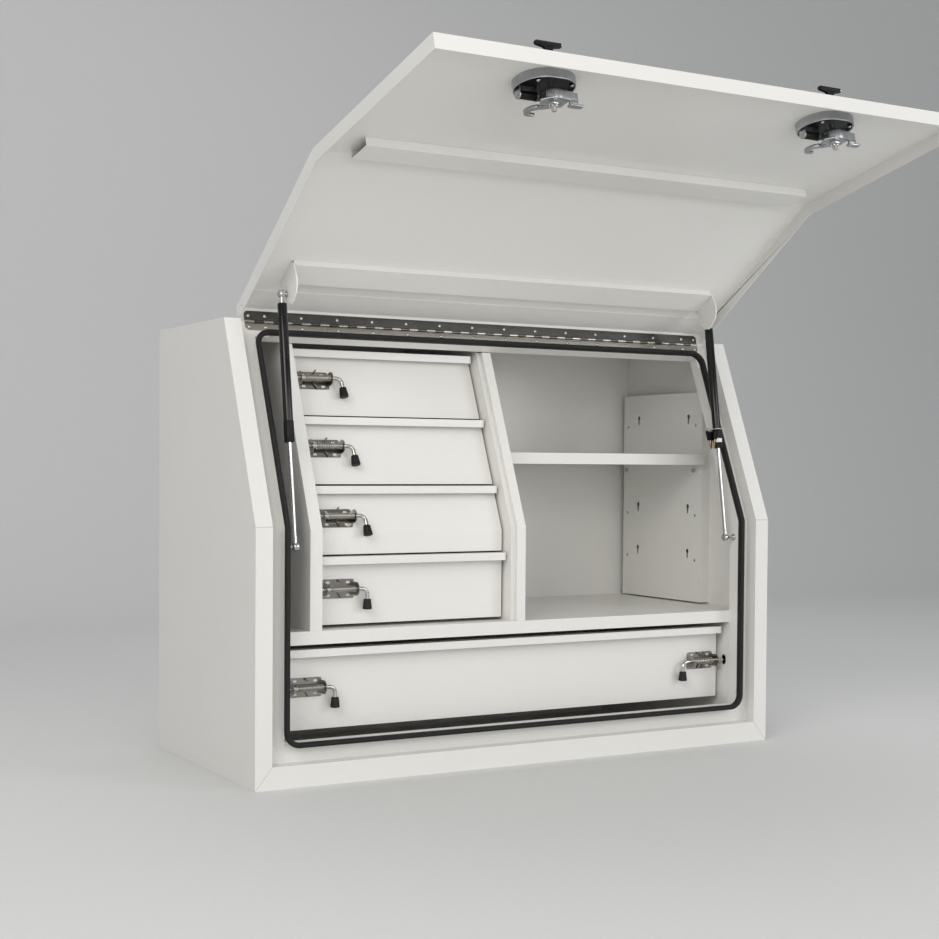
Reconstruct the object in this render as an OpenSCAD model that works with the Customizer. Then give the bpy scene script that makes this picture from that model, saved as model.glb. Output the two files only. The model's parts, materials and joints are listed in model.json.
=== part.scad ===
/* [Case] */
// Overall width of the case
case_w = 1200; // [1160:5:1400]
// Overall depth of the case
case_d = 515; // [500:5:600]
// Overall height of the case
case_h = 870; // [860:5:960]
// Depth of the flat top behind the sloping front
top_d = 358; // [340:2:370]
// Height at which the front bends back
bend_h = 480; // [470:2:488]
// Sheet thickness of case and doors
sheet = 1.6; // [1.2:0.1:2]

/* [Front frame] */
// Width of the frame face at the sides
face_side = 34; // [28:1:36]
// Height of the frame face at the bottom
face_bottom = 42; // [36:1:44]
// Depth of the rain gutter behind the face
gutter_deep = 29; // [28:0.5:31]
// Width of the gutter floor
gutter_w = 35; // [33:1:36]
// Depth of the front edge of the seal flange
flange_front = 12; // [10:0.5:14]
// Depth of the rear edge of the jamb
jamb_deep = 44.5; // [42:0.5:48]
// Distance of the top jamb below the top edge, along the slope
top_face = 25.4; // [22.4:0.2:30]

/* [Seal] */
// Width of the seal bulb
bulb_w = 12; // [10:0.5:12.5]
// Depth of the seal bulb
bulb_d = 13; // [11:0.5:13.5]
// How far the bulb lies outside its flange
bulb_shift = 3; // [2:0.5:3.5]
// Corner radius of the seal loop
seal_corner = 24; // [20:1:30]
// Gap between closed lid skin and seal
seal_gap = 1.5; // [1.5:0.1:2.5]

/* [Lid] */
// How far the lid skin stands proud of the frame
lid_proud = 2; // [1.8:0.1:3]
// Gap beside the lid in the frame
lid_side_gap = 6; // [4:0.5:7]
// Gap below the lid in the frame
lid_bottom_gap = 4; // [3:0.5:6]
// Depth of the lid edge flanges
lid_flange = 26; // [22:0.5:27]
// Opening angle of the lid
lid_open = 103.4; // [60:0.1:105]
// Depth of the middle stiffening rail
mid_rail_deep = 16.4; // [10:0.2:20]
// Height of the middle stiffening rail
mid_rail_h = 58; // [40:1:70]
// How far the lid rails end short of each strut
rail_short = 14; // [14:1:28]
// Depth of the rail beside the hinge
hinge_rail_deep = 12.4; // [8:0.2:16]

/* [Hinge] */
// Outer diameter of the hinge knuckles
knuckle_d = 5.6; // [5.2:0.1:5.8]
// Diameter of the hinge pin
pin_d = 3; // [2.4:0.1:3.2]
// Distance of the hinge ends from the case sides
hinge_inset = 53; // [50:1:80]
// Thickness of the hinge leaves
leaf_t = 1.4; // [1:0.1:1.4]
// Number of hinge knuckles, an odd number
knuckles = 55; // [41:2:61]
// Spacing of the last two hinge screws at each end
screw_end = 34.2; // [20:0.2:40]
// Diameter of the hinge screw heads
screw_head = 7; // [5:0.5:8]

/* [Gas struts] */
// Distance of each strut from the side jamb
strut_side = 23; // [22:0.5:24]
// Outer diameter of the strut tube
strut_tube_d = 18; // [14:0.5:18]
// Diameter of the strut rod
strut_rod_d = 8; // [6:0.5:10]
// Length of the strut tube
strut_tube_len = 264; // [250:1:268]
// Length of the collar at the low end of each tube
strut_collar = 40; // [25:1:50]
// Diameter of the strut end balls
strut_ball_d = 10; // [9:0.5:10.5]
// Drop of the lower strut balls below the bend
strut_drop = 38; // [30:1:50]

/* [Deck and lower bay] */
// Height of the top of the middle deck
deck_z = 282; // [276:1:286]
// Height of the front lip of the deck
deck_lip = 25.5; // [20:0.5:28]
// Depth of the long drawer face behind the front plane
drawer5_deep = 75.5; // [72:0.5:90]
// Gap between the long drawer and each bay wall
drawer5_gap = 9; // [8.5:0.5:12]
// Height of the long drawer face
drawer5_h = 155; // [140:1:158]

/* [Drawer cabinet] */
// Distance of the cabinet from the left jamb
cab_side = 60; // [56:1:66]
// Width of the front flange of the left cabinet wall
cab_flange = 25; // [25:0.5:27]
// Width of the cabinet between its outer walls
cab_w = 448; // [445:1:449]
// Width of the divider front flange
divider_w = 20.5; // [16:0.5:24]
// Depth of the drawer faces behind the front plane
drawer_deep = 84.5; // [84:0.5:90]
// Vertical pitch of the drawers
drawer_pitch = 134; // [133:0.5:135]
// Height of the lip of the lowest drawer
drawer_low_top = 419; // [416:0.5:420]
// Gap between a drawer face and the next lip
drawer_gap = 3; // [2:0.5:5]
// How far the drawer pulls stand forward
pull_out = 24; // [18:0.5:25]
// Height of the turned down edge of the pulls
pull_drop = 15; // [10:0.5:18]
// Gap between a drawer face and the cabinet edges
drawer_side_gap = 2; // [1.5:0.5:4]
// Thickness of each drawer slide
slide_t = 12; // [10:0.5:13]
// Height of the drawer slides
slide_h = 36; // [24:1:40]

/* [Right bay] */
// Distance of the keyhole panel from the case side
panel_side = 25; // [20:1:30]
// Front edge of the keyhole panel
panel_front = -60; // [-62:1:-50]
// Rear edge of the keyhole panel
panel_back = 237; // [220:1:245]
// Top of the keyhole panel
panel_top = 763; // [755:1:775]
// Diameter of the keyhole heads
keyhole_d = 10; // [8:0.5:12]
// Height of the underside of the shelf lip
shelf_low = 598; // [590:1:606]
// Height of the shelf lip
shelf_lip = 24; // [18:1:28]
// Front of the shelf lip
shelf_front = -74; // [-76:1:-66]

/* [Spring bolts] */
// Length of a bolt bracket
bolt_len = 68; // [66:1:72]
// Height of a bolt bracket
bolt_plate_h = 37; // [30:1:40]
// Diameter of the bolt rod
bolt_d = 8; // [6:0.5:8]
// Distance of the bolt axis from the drawer face
bolt_off = 15; // [13:0.5:15.5]
// Wire diameter of the bolt springs
wire_d = 1.2; // [1:0.1:1.3]
// Curls in each bolt spring
curls = 12; // [8:1:14]

/* [Latches] */
// Distance of the latches from the centre plane
latch_x = 301; // [280:1:320]
// Height of the latches with the lid closed
latch_z = 125.4; // [124:0.2:140]
// Width of the latch ring
latch_w = 107; // [100:1:112]
// Height of the latch ring
latch_h = 88; // [84:1:92]
// Sideways step from a latch's stud to the middle of its dish
dish_side = 6; // [4:0.5:8]
// Rise from a latch's stud to the middle of its dish
dish_rise = 11; // [9:0.5:13]
// How far the latch ring stands off the skin
latch_ring = 16; // [12:0.5:20]
// Space between the folded cross bar and the upper end of the dish
bar_space = 4.5; // [4.5:0.5:8]

/* [Hidden] */
$fn = 48;

// Radial clearance of running fits
fit_gap = 0.1;
// Colours
powder = [0.90, 0.89, 0.85];
zinc = [0.66, 0.67, 0.68];
steel = [0.74, 0.74, 0.74];
black = [0.07, 0.07, 0.07];

// Side profile of the case: a vertical front that bends back into a slope
half_w = case_w / 2;
rail_half = half_w - face_side - gutter_w - strut_side - rail_short;
hinge_half = half_w - hinge_inset;
yf = -case_d / 2;
yb = case_d / 2;
lean = (case_d - top_d) / (case_h - bend_h);
tilt = atan(lean);
ty = sin(tilt);
tz = cos(tilt);
top_jamb = (case_h - bend_h) / tz - top_face;
function bend_z(d) = bend_h - d * tan(tilt / 2);
// Depth line d, measured square to the front, at height z
function fy(d, z) = yf + d + max(0, z - bend_z(d)) * lean;
// Point at distance s up the slope and depth d
function sp(s, d) = [yf + s * ty + d * tz, bend_h + s * tz - d * ty];
function line_up(d, z1, z2) = concat([[fy(d, z1), z1]],
    (z1 < bend_z(d) && bend_z(d) < z2) ? [[yf + d, bend_z(d)]] : [], [[fy(d, z2), z2]]);
function flip(v) = [for (i = [len(v) - 1:-1:0]) v[i]];
// Closed strip between two depth lines
function band(d1, d2, z1, z2) = concat(line_up(d1, z1, z2), flip(line_up(d2, z1, z2)));

// Plate with outline pts in Y and Z, from x1 to x2
module plate(x1, x2, pts) {
    translate([x1, 0, 0]) rotate([90, 0, 90]) linear_extrude(x2 - x1) polygon(pts);
}
module both() {
    children();
    mirror([1, 0, 0]) children();
}
module box(a, b) {
    translate(a) cube(b - a);
}
module rod_x(x1, x2, d) {
    translate([x1, 0, 0]) rotate([0, 90, 0]) cylinder(d = d, h = x2 - x1);
}
module rod_y(y1, y2, d) {
    translate([0, y2, 0]) rotate([90, 0, 0]) cylinder(d = d, h = y2 - y1);
}

// Opening of the frame and of the seal flange
open_x = half_w - face_side;
jamb_x = open_x - gutter_w;
strut_x = jamb_x - strut_side;
cab_left = -jamb_x + cab_side;
cab_right = cab_left + cab_w;
panel_x = half_w - panel_side;
jamb_z = face_bottom + gutter_w + sheet + 1;
ya = fy(gutter_deep, case_h);
back_in = yb - sheet;
bay_y = yf + jamb_deep;

// Case skin in one bent sheet: floor, back and top, with the two front tabs of the top
module case_wrap() color(powder) {
    x = half_w - sheet;
    box([-x, yf + sheet, 0], [x, yb, sheet]);
    box([-x, back_in, 0], [x, yb, case_h]);
    box([-x, ya, case_h - sheet], [x, yb, case_h]);
    both() box([open_x, fy(sheet, case_h), case_h - sheet], [x, ya + 1, case_h]);
}
module end_panel() color(powder)
    plate(-half_w, -half_w + sheet, concat(line_up(sheet, 0, case_h), [[yb, case_h], [yb, 0]]));

// Front frame: face, gutter wall, gutter floor and seal flange with its jamb
flange_clear = seal_corner + 4;
module front_frame() color(powder) {
    zt = case_h - sheet;
    floor_low = face_bottom - sheet;
    both() {
        plate(open_x, half_w, band(0, sheet, 0, case_h));
        plate(open_x, open_x + sheet, band(sheet / 2, gutter_deep + sheet, floor_low, zt));
    }
    box([-open_x, yf, 0], [open_x, yf + sheet, face_bottom]);
    box([-open_x, yf + sheet, floor_low], [open_x, yf + gutter_deep, face_bottom]);
    difference() {
        plate(-open_x - sheet, open_x + sheet,
            band(gutter_deep, gutter_deep + sheet, floor_low, zt));
        opening(sheet / 2, gutter_deep - 1, gutter_deep + sheet + 1);
    }
    difference() {
        opening(sheet, flange_front, jamb_deep);
        opening(0, flange_front - 1, jamb_deep + 1);
        both() {
            box([jamb_x - flange_clear, yf + flange_front - 1, jamb_z - sheet - 1],
                [jamb_x + sheet + 1, yf + seal_end, jamb_z + flange_clear]);
            plate(jamb_x - flange_clear, jamb_x + sheet + 1,
                slab(top_jamb - flange_clear, top_jamb + sheet + 1, flange_front - 1, seal_end));
        }
    }
}
// Prism that fills the door opening, grown by g, between two depths
module opening(g, d1, d2) plate(-jamb_x - g, jamb_x + g, concat(
    line_up(d1, jamb_z - g, sp(top_jamb + g, d1)[1]),
    flip(line_up(d2, jamb_z - g, sp(top_jamb + g, d2)[1]))));
// Rectangle square to the slope, from s1 to s2 along it and d1 to d2 deep
function slab(s1, s2, d1, d2) = [sp(s1, d1), sp(s2, d1), sp(s2, d2), sp(s1, d2)];

// Seal loop: an oval bulb with two legs that grip the flange, swept round the opening
bulb_front = seal_gap - lid_proud + sheet;
bulb_mid = bulb_front + bulb_d / 2;
seal_end = bulb_front + bulb_d + 10;
leg = 2.4;
grip_gap = 0.25;
mid_x = jamb_x + sheet / 2;
mid_z = jamb_z - sheet / 2;
mid_s = top_jamb + sheet / 2;
// Cross-section: first value outward from the opening, second value depth
function seal_section() = concat(
    [for (a = [-6:-24:-174]) [bulb_shift + bulb_w / 2 * cos(a), bulb_mid + bulb_d / 2 * sin(a)]],
    [[bulb_shift - bulb_w / 2, bulb_mid + 1], [-leg - sheet / 2, bulb_front + bulb_d - 2],
     [-leg - sheet / 2, seal_end - 0.4], [-sheet / 2 - grip_gap, seal_end - 0.4],
     [-sheet / 2 - grip_gap, flange_front - 0.4], [sheet / 2 + grip_gap, flange_front - 0.4],
     [sheet / 2 + grip_gap, seal_end - 0.4], [leg + sheet / 2, seal_end - 0.4],
     [leg + sheet / 2 + 1, bulb_front + bulb_d],
     [bulb_shift + bulb_w / 2, bulb_mid + 1]]);
// Stations: plan position x, run w up the front, outward direction
function seal_run() = let (r = seal_corner, w1 = mid_z + r, w2 = bend_h + mid_s - r) concat(
    [for (a = [-90:18:0]) [mid_x - r + r * cos(a), w1 + r * sin(a), cos(a), sin(a)]],
    [for (a = [-12, 0, 12]) [mid_x, bend_h + a, 1, 0]],
    [for (a = [0:18:90]) [mid_x - r + r * cos(a), w2 + r * sin(a), cos(a), sin(a)]],
    [for (a = [90:18:180]) [-mid_x + r + r * cos(a), w2 + r * sin(a), cos(a), sin(a)]],
    [for (a = [12, 0, -12]) [-mid_x, bend_h + a, -1, 0]],
    [for (a = [180:18:270]) [-mid_x + r + r * cos(a), w1 + r * sin(a), cos(a), sin(a)]]);
// Point at run w and depth d: below the bend on the front, above it on the slope
function on_front(w, d) = w <= bend_h ? [yf + d, w + (bend_z(d) - bend_h) * max(0,
    1 - (bend_h - w) / 12)] : let (s = w - bend_h)
    sp(s - max(0, 1 - s / 12) * d * tan(tilt / 2), d);
module door_seal() color(black) {
    sec = seal_section();
    run = seal_run();
    n = len(sec);
    m = len(run);
    pts = [for (q = run) for (c = sec)
        let (yz = on_front(q[1] + q[3] * c[0], c[1])) [q[0] + q[2] * c[0], yz[0], yz[1]]];
    faces = [for (i = [0:m - 1]) for (j = [0:n - 1]) let (a = i * n + j, b = i * n + (j + 1) % n,
        c = ((i + 1) % m) * n + (j + 1) % n, d = ((i + 1) % m) * n + j) each [[a, b, c], [a, c, d]]];
    polyhedron(pts, faces, convexity = 6);
}

// Middle deck with a turned down front lip
module middle_deck() color(powder) {
    x = half_w - sheet;
    box([-x, bay_y, deck_z - sheet], [x, back_in, deck_z]);
    box([-x, bay_y, deck_z - deck_lip], [x, bay_y + sheet, deck_z]);
}
// Walls of the lower bay, with slotted keepers for the bolts of the long drawer
drawer5_y = yf + drawer5_deep;
drawer5_z0 = deck_z - 35 - drawer5_h;
bolt5_z = drawer5_z0 + drawer5_h / 2 + 3.5;
keep_w = bolt_d + 6;
keep_h = bolt_d + 14;
module keeper_cut(x, y, z) {
    translate([x, y, z]) for (k = [-1, 1])
        translate([0, 0, k * (keep_h - keep_w) / 2]) rod_x(-3, 3, keep_w);
    box([x - 3, y - keep_w / 2, z - (keep_h - keep_w) / 2],
        [x + 3, y + keep_w / 2, z + (keep_h - keep_w) / 2]);
}
module lower_bay_walls() color(powder) both() difference() {
    box([jamb_x, bay_y, sheet], [jamb_x + sheet, back_in, deck_z - sheet]);
    keeper_cut(jamb_x + sheet / 2, drawer5_y - bolt_off, bolt5_z);
    box([jamb_x - 1, bay_y - 1, deck_z - deck_lip],
        [jamb_x + sheet + 1, bay_y + sheet, deck_z]);
}

// Left cabinet wall: wall, front flange and a return that holds the keeper slots
cab_in = cab_left + cab_flange;
wall_top = case_h - sheet;
module cabinet_left_wall() color(powder) difference() {
    union() {
        plate(cab_left, cab_left + sheet, concat(line_up(jamb_deep, deck_z, wall_top),
            [[back_in, wall_top], [back_in, deck_z]]));
        plate(cab_left, cab_in, band(jamb_deep, jamb_deep + sheet, deck_z, flange_top));
        plate(cab_in - sheet, cab_in, band(jamb_deep, drawer_deep - 2, deck_z, flange_top));
    }
    for (i = [1:4]) translate([cab_in - sheet / 2, 0, 0]) at_face(i)
        translate([0, -bolt_off, 0]) {
            for (k = [-1, 1]) translate([0, 0, k * (keep_h - keep_w) / 2]) rod_x(-3, 3, keep_w);
            box([-3, -keep_w / 2, -(keep_h - keep_w) / 2], [3, keep_w / 2, (keep_h - keep_w) / 2]);
        }
}
flange_top = sp(top_jamb - 1, jamb_deep)[1];
// Right side of the cabinet: an inner wall, a set back strip and a box shaped divider post
div_x1 = cab_right + 8;
div_x2 = div_x1 + divider_w;
div_back = 10;
module cabinet_right_wall() color(powder) {
    d = jamb_deep + div_back;
    plate(cab_right, cab_right + sheet, concat(line_up(d, deck_z, wall_top),
        [[back_in, wall_top], [back_in, deck_z]]));
    plate(cab_right, div_x1 + sheet, band(d, d + sheet, deck_z, flange_top));
    plate(div_x1, div_x1 + sheet, band(jamb_deep, d + sheet, deck_z, flange_top));
    plate(div_x1, div_x2, band(jamb_deep, jamb_deep + sheet, deck_z, flange_top));
    plate(div_x2 - sheet, div_x2, concat(line_up(jamb_deep, deck_z, wall_top),
        [[back_in, wall_top], [back_in, deck_z]]));
}

// Panel with rows of keyholes on the right wall, held off it by its front and rear returns
panel_low = deck_z + 3;
key_rows = [708.6, 605.8, 503, 400];
key_cols = [178.5, -10.4];
hole_cols = [219.5, -37.5];
module keyhole_panel() color(powder) difference() {
    union() {
        box([panel_x, panel_front, panel_low], [panel_x + sheet, panel_back, panel_top]);
        for (y = [panel_front, panel_back - sheet])
            box([panel_x, y, panel_low], [half_w - sheet, y + sheet, panel_top]);
    }
    for (z = key_rows) {
        for (y = key_cols) {
            translate([0, y, z]) rod_x(panel_x - 1, panel_x + sheet + 1, keyhole_d);
            box([panel_x - 1, y - keyhole_d / 4, z - keyhole_d - 6],
                [panel_x + sheet + 1, y + keyhole_d / 4, z]);
        }
        for (y = hole_cols)
            translate([0, y, z - 20.5]) rod_x(panel_x - 1, panel_x + sheet + 1, 6);
    }
}

// Shelf across the right bay, its two brackets and their screws
shelf_x1 = div_x2 + 0.3;
shelf_x2 = panel_x - 2;
shelf_top = shelf_low + shelf_lip;
module shelf() color(powder) {
    box([shelf_x1, shelf_front, shelf_top - sheet], [shelf_x2, back_in - 4, shelf_top]);
    box([shelf_x1, shelf_front, shelf_low], [shelf_x2, shelf_front + sheet, shelf_top]);
    box([shelf_x1, shelf_front, shelf_low], [shelf_x2, shelf_front + 12, shelf_low + sheet]);
    box([shelf_x1, back_in - 4 - sheet, shelf_low], [shelf_x2, back_in - 4, shelf_top]);
}
bracket_low = key_rows[1] - 20.5 - 12;
module shelf_brackets() color(powder) {
    difference() {
        union() {
            box([panel_x - 3.6, panel_front + 2, bracket_low],
                [panel_x, panel_back - 8, shelf_low - 1]);
            box([panel_x - 28, shelf_front + 14, shelf_top - 2 * sheet],
                [panel_x - 3.6, panel_back - 8, shelf_top - sheet]);
            box([panel_x - 3.6, panel_front + 2, shelf_low - 1],
                [panel_x - 2, panel_back - 8, shelf_top - sheet]);
        }
        for (y = hole_cols) translate([0, y, key_rows[1] - 20.5])
            rod_x(panel_x - 5, panel_x + 1, 6);
    }
    box([div_x2, shelf_front + 14, shelf_top - 2 * sheet],
        [div_x2 + 26, panel_back - 8, shelf_top - sheet]);
    box([div_x2, shelf_front + 14, bracket_low],
        [div_x2 + sheet, panel_back - 8, shelf_top - 2 * sheet]);
}
module shelf_bolts() color(zinc) for (y = hole_cols) translate([0, y, key_rows[1] - 20.5]) {
    rod_x(panel_x - 3.6, panel_x + 9, 5.8);
    translate([panel_x - 3.6 - 4, 0, 0]) rotate([0, 90, 0]) cylinder(d = 10, h = 4, $fn = 6);
}

// Fixed halves of the drawer slides: open channels on packers
rail_wall = 1.5;
rail_back = yb - 30;
function slide_z(i) = drawer_low(i) + 42;
module channel(x, z, y1, w, s) {
    // Channel that opens towards s, with its back at x
    h = slide_h;
    translate([x, 0, 0]) mirror([s < 0 ? 1 : 0, 0, 0]) {
        box([0, y1, z - h / 2], [rail_wall, rail_back, z + h / 2]);
        for (k = [0, 1])
            box([0, y1, z - h / 2 + k * (h - rail_wall)],
                [w, rail_back, z - h / 2 + rail_wall + k * (h - rail_wall)]);
    }
}
module runner_rails() color(zinc) {
    for (i = [1:4]) {
        y1 = max(fy(drawer_deep + 8, drawer_top(i)), bay_y + 60);
        xl = tray_left - slide_t;
        channel(xl, slide_z(i), y1, slide_t - 1, 1);
        box([cab_left + sheet, y1 + 20, slide_z(i) - 12], [xl, rail_back - 20, slide_z(i) + 12]);
        channel(cab_right, slide_z(i), y1, slide_t - 1, -1);
    }
    both() channel(jamb_x, drawer5_z0 + 60, drawer5_y + 12, drawer5_gap - 1, -1);
}

// Continuous hinge at the front edge of the top
pin_dep = gutter_deep - knuckle_d / 2 - 0.05;
pin_z = case_h - 3;
pin_y = fy(pin_dep, pin_z);
pin_s = (pin_y - yf) * ty + (pin_z - bend_h) * tz;
knuckle_len = 2 * hinge_half / knuckles;
leaf_s = pin_s - 17;
leaf_y = pin_y - 22;
leaf_gap = 0.35;
bore_d = pin_d + 2 * fit_gap;
end_screw = hinge_half - 8.4;
screw_pairs = 7;
screw_pitch = (end_screw - screw_end) / (screw_pairs - 0.5);
screws = [for (k = [1 - screw_pairs:screw_pairs]) (k - 0.5) * screw_pitch];
screw_x = concat([-end_screw], screws, [end_screw]);
leaf_clear = sqrt(pow(knuckle_d / 2 + leaf_gap, 2) - pow(knuckle_d / 2 - leaf_t, 2));
function knuckle_x(i) = -hinge_half + i * knuckle_len;
module hinge_case_leaf() color(steel) difference() {
    union() {
        plate(-hinge_half, hinge_half,
            slab(leaf_s, pin_s - leaf_clear, gutter_deep - leaf_t, gutter_deep));
        for (i = [0:2:knuckles - 1]) {
            plate(knuckle_x(i), knuckle_x(i + 1) - leaf_gap,
                slab(pin_s - leaf_clear - 1, pin_s, gutter_deep - leaf_t, gutter_deep));
            translate([0, pin_y, pin_z])
                rod_x(knuckle_x(i), knuckle_x(i + 1) - leaf_gap, knuckle_d);
        }
    }
    translate([0, pin_y, pin_z]) rod_x(-hinge_half - 1, hinge_half + 1, bore_d);
}
module hinge_pin() color(steel) translate([0, pin_y, pin_z])
    rod_x(-hinge_half + 0.5, hinge_half - 0.5, pin_d);
module hinge_case_screws() color(zinc) for (x = screw_x)
    translate([x, sp(pin_s - 10, gutter_deep - leaf_t)[0], sp(pin_s - 10, gutter_deep - leaf_t)[1]])
        rotate([-tilt, 0, 0]) rod_y(-1.8, 0, screw_head);

// Lower ball studs of the struts on the side jambs
low_y = yf + 31.5;
strut_low_z = bend_h - strut_drop;
low = [low_y, strut_low_z];
module strut_wall_studs() color(zinc) both() translate([0, low_y, strut_low_z]) {
    rod_x(jamb_x - 2, jamb_x, 14);
    rod_x(strut_x + 2, jamb_x - 1, 6);
    translate([strut_x, 0, 0]) rotate([0, 90, 0]) sphere(d = strut_ball_d);
}

// Lid, drawn closed and turned open about the hinge pin
lid_x = open_x - lid_side_gap;
lid_low = face_bottom + lid_bottom_gap;
lid_in = sheet - lid_proud;
lid_top = case_h + 1;
flange_back = pin_y - 6.5;
module as_open() {
    translate([0, pin_y, pin_z]) rotate([-lid_open, 0, 0]) translate([0, -pin_y, -pin_z])
        children();
}
module oval(w, h) {
    // Long oval in X and Z
    rotate([90, 0, 0]) linear_extrude(1) {
        for (k = [-1, 1]) translate([k * (w - h) / 2, 0]) circle(d = h, $fn = 64);
        square([w - h, h], center = true);
    }
}
module oval_bar(w, h, y1, y2) {
    translate([0, y2, 0]) rotate([90, 0, 0]) linear_extrude(y2 - y1) {
        for (k = [-1, 1]) translate([k * (w - h) / 2, 0]) circle(d = h, $fn = 64);
        square([w - h, h], center = true);
    }
}
module at_latch(s) {
    translate([s * latch_x, yf - lid_proud, latch_z]) children();
}
dish_w = latch_w - 9;
dish_h = latch_h - 9;
module at_dish() {
    translate([-dish_side, 0, dish_rise]) children();
}
module lid_panel() color(powder) as_open() difference() {
    union() {
        plate(-lid_x, lid_x, band(-lid_proud, lid_in, lid_low, lid_top));
        box([-lid_x, fy(-lid_proud, lid_top), lid_top - sheet], [lid_x, flange_back, lid_top]);
        box([-lid_x, yf - lid_proud, lid_low],
            [lid_x, yf - lid_proud + lid_flange, lid_low + sheet]);
        both() difference() {
            plate(lid_x - sheet, lid_x,
                band(-lid_proud, lid_flange - lid_proud, lid_low, lid_top));
            box([lid_x - sheet - 1, flange_back, lid_low + 100], [lid_x + 1, 0, lid_top + 1]);
        }
        plate(-lid_x + sheet, lid_x - sheet, slab(pin_s - 62, pin_s - 14, lid_in, lid_in + 1.2));
    }
    for (s = [-1, 1]) at_latch(s) at_dish() oval_bar(dish_w, dish_h, -1, sheet + 1);
    translate([0, sp(pin_s - 28, 12)[0], sp(pin_s - 28, 12)[1]])
        rod_x(-lid_x - 1, -lid_x + sheet + 1, 5);
}
rail_top = bend_h - 14;
module lid_middle_rail() color(powder) as_open() {
    z1 = rail_top - mid_rail_h;
    y1 = yf + lid_in;
    y2 = y1 + mid_rail_deep;
    box([-rail_half, y2 - sheet, z1], [rail_half, y2, rail_top]);
    box([-rail_half, y1, z1], [rail_half, y2, z1 + sheet]);
    box([-rail_half, y1, rail_top - sheet], [rail_half, y2, rail_top]);
}
hr_s1 = pin_s - 151;
hr_s2 = pin_s - 97;
module lid_hinge_rail() color(powder) as_open() {
    d2 = lid_in + hinge_rail_deep;
    plate(-rail_half, rail_half, slab(hr_s1, hr_s2, d2 - sheet, d2));
    plate(-rail_half, rail_half, slab(hr_s1, hr_s1 + sheet, lid_in, d2));
    plate(-rail_half, rail_half, slab(hr_s2 - sheet, hr_s2, lid_in, d2));
}
// Upper ball position with the lid closed, along the slope and in depth
top_s = pin_s - 97;
top_dep = 37.2;
gusset_t = 3;
gusset_x = rail_half + gusset_t;
module strut_brackets() color(powder) as_open() both() {
    plate(rail_half, gusset_x, [sp(top_s - 49, lid_in), sp(top_s - 54, 8), sp(top_s - 51, 37),
        sp(top_s - 45, 50), sp(top_s - 34, 60), sp(top_s - 18, 64.5), sp(top_s - 4, 65.5),
        sp(top_s + 6, 58), sp(top_s + 10.5, 44), sp(top_s + 10.7, lid_in)]);
    plate(rail_half - 16, rail_half,
        slab(top_s + 1, top_s + 10.7, lid_in, lid_in + 2));
}
module hinge_lid_leaf() color(steel) as_open() difference() {
    zl = lid_top - sheet;
    union() {
        box([-hinge_half, leaf_y, zl - leaf_t], [hinge_half, pin_y - leaf_clear, zl]);
        for (i = [1:2:knuckles - 2]) {
            box([knuckle_x(i), pin_y - leaf_clear - 1, zl - leaf_t],
                [knuckle_x(i + 1) - leaf_gap, pin_y, zl]);
            translate([0, pin_y, pin_z])
                rod_x(knuckle_x(i), knuckle_x(i + 1) - leaf_gap, knuckle_d);
        }
    }
    translate([0, pin_y, pin_z]) rod_x(-hinge_half - 1, hinge_half + 1, bore_d);
}
module hinge_lid_screws() color(zinc) as_open() for (x = screw_x)
    translate([x, pin_y - 12, lid_top - sheet - leaf_t - 1.8]) cylinder(d = screw_head, h = 1.8);

// Folding latches: dish, clamp ring, pivot stud and frame, nuts, cam and handle
dish_floor = 10;
stud_d = 9;
lever_y = jamb_deep + lid_proud + 2;
stud_end = lever_y + 11;
roller_y = 26;
roller_z = 23;
roller_d = 15;
cheeks = [[-51.5, -49], [-17, -14.5]];
cam_y = 43;
arm_r = 20;
pivot_y = 5;
pivot_z = dish_rise - dish_h / 2 + 14.5;
pivot_d = 5;
handle_reach = dish_rise - pivot_z + dish_h / 2 - 6 - bar_space;
bar_half = (latch_w - latch_h) / 2 + 12.5;
module latch_housings() color(black) as_open() for (s = [-1, 1]) at_latch(s) {
    at_dish() difference() {
        union() {
            oval_bar(latch_w, latch_h, -1.5, 0);
            oval_bar(dish_w - 0.6, dish_h - 0.6, -1.5, dish_floor + 1.5);
        }
        oval_bar(dish_w - 4, dish_h - 4, -2.5, dish_floor);
    }
    translate([-dish_side, 0, 0]) for (k = [-1, 1]) difference() {
        box([k > 0 ? 9.5 : -13, 0.5, pivot_z - 4.5], [k > 0 ? 13 : -9.5, dish_floor + 0.5, pivot_z + 4.5]);
        translate([0, pivot_y, pivot_z]) rod_x(-20, 20, pivot_d + 2 * fit_gap);
    }
    rod_y(dish_floor + 1, stud_end, stud_d);
    box([cheeks[0][1] + 0.5, dish_floor + 1, roller_z - 8],
        [cheeks[1][0] - 0.5, dish_floor + 3.5, roller_z + 8]);
    translate([0, roller_y, roller_z]) rod_x(cheeks[0][1], cheeks[1][0], roller_d);
}
module latch_clamp_rings() color(zinc) as_open() for (s = [-1, 1]) at_latch(s) {
    at_dish() difference() {
        oval_bar(latch_w, latch_h, sheet, sheet + latch_ring);
        oval_bar(latch_w - 5, latch_h - 5, sheet - 1, sheet + latch_ring + 1);
    }
    for (c = cheeks) difference() {
        union() {
            box([c[0], dish_floor + 1.5, roller_z - 8], [c[1], roller_y, roller_z + 8]);
            translate([0, roller_y, roller_z]) rod_x(c[0], c[1], 16);
        }
        translate([c == cheeks[0] ? c[0] - 0.5 : c[1] - 1.5, roller_y, roller_z]) rod_x(0, 2, 4);
    }
}
module latch_nuts() color(zinc) as_open() for (s = [-1, 1]) at_latch(s)
    for (y = [22, cam_y + 0.4]) difference() {
        translate([0, y + 5, 0]) rotate([90, 0, 0]) cylinder(d = 17, h = 5, $fn = 6);
        rod_y(y - 1, y + 6, stud_d + fit_gap);
    }
// Flat piece in X and Z, t thick up to depth y
module cam_slice(y, t) {
    translate([0, y, 0]) rotate([90, 0, 0]) linear_extrude(t) children();
}
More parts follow.
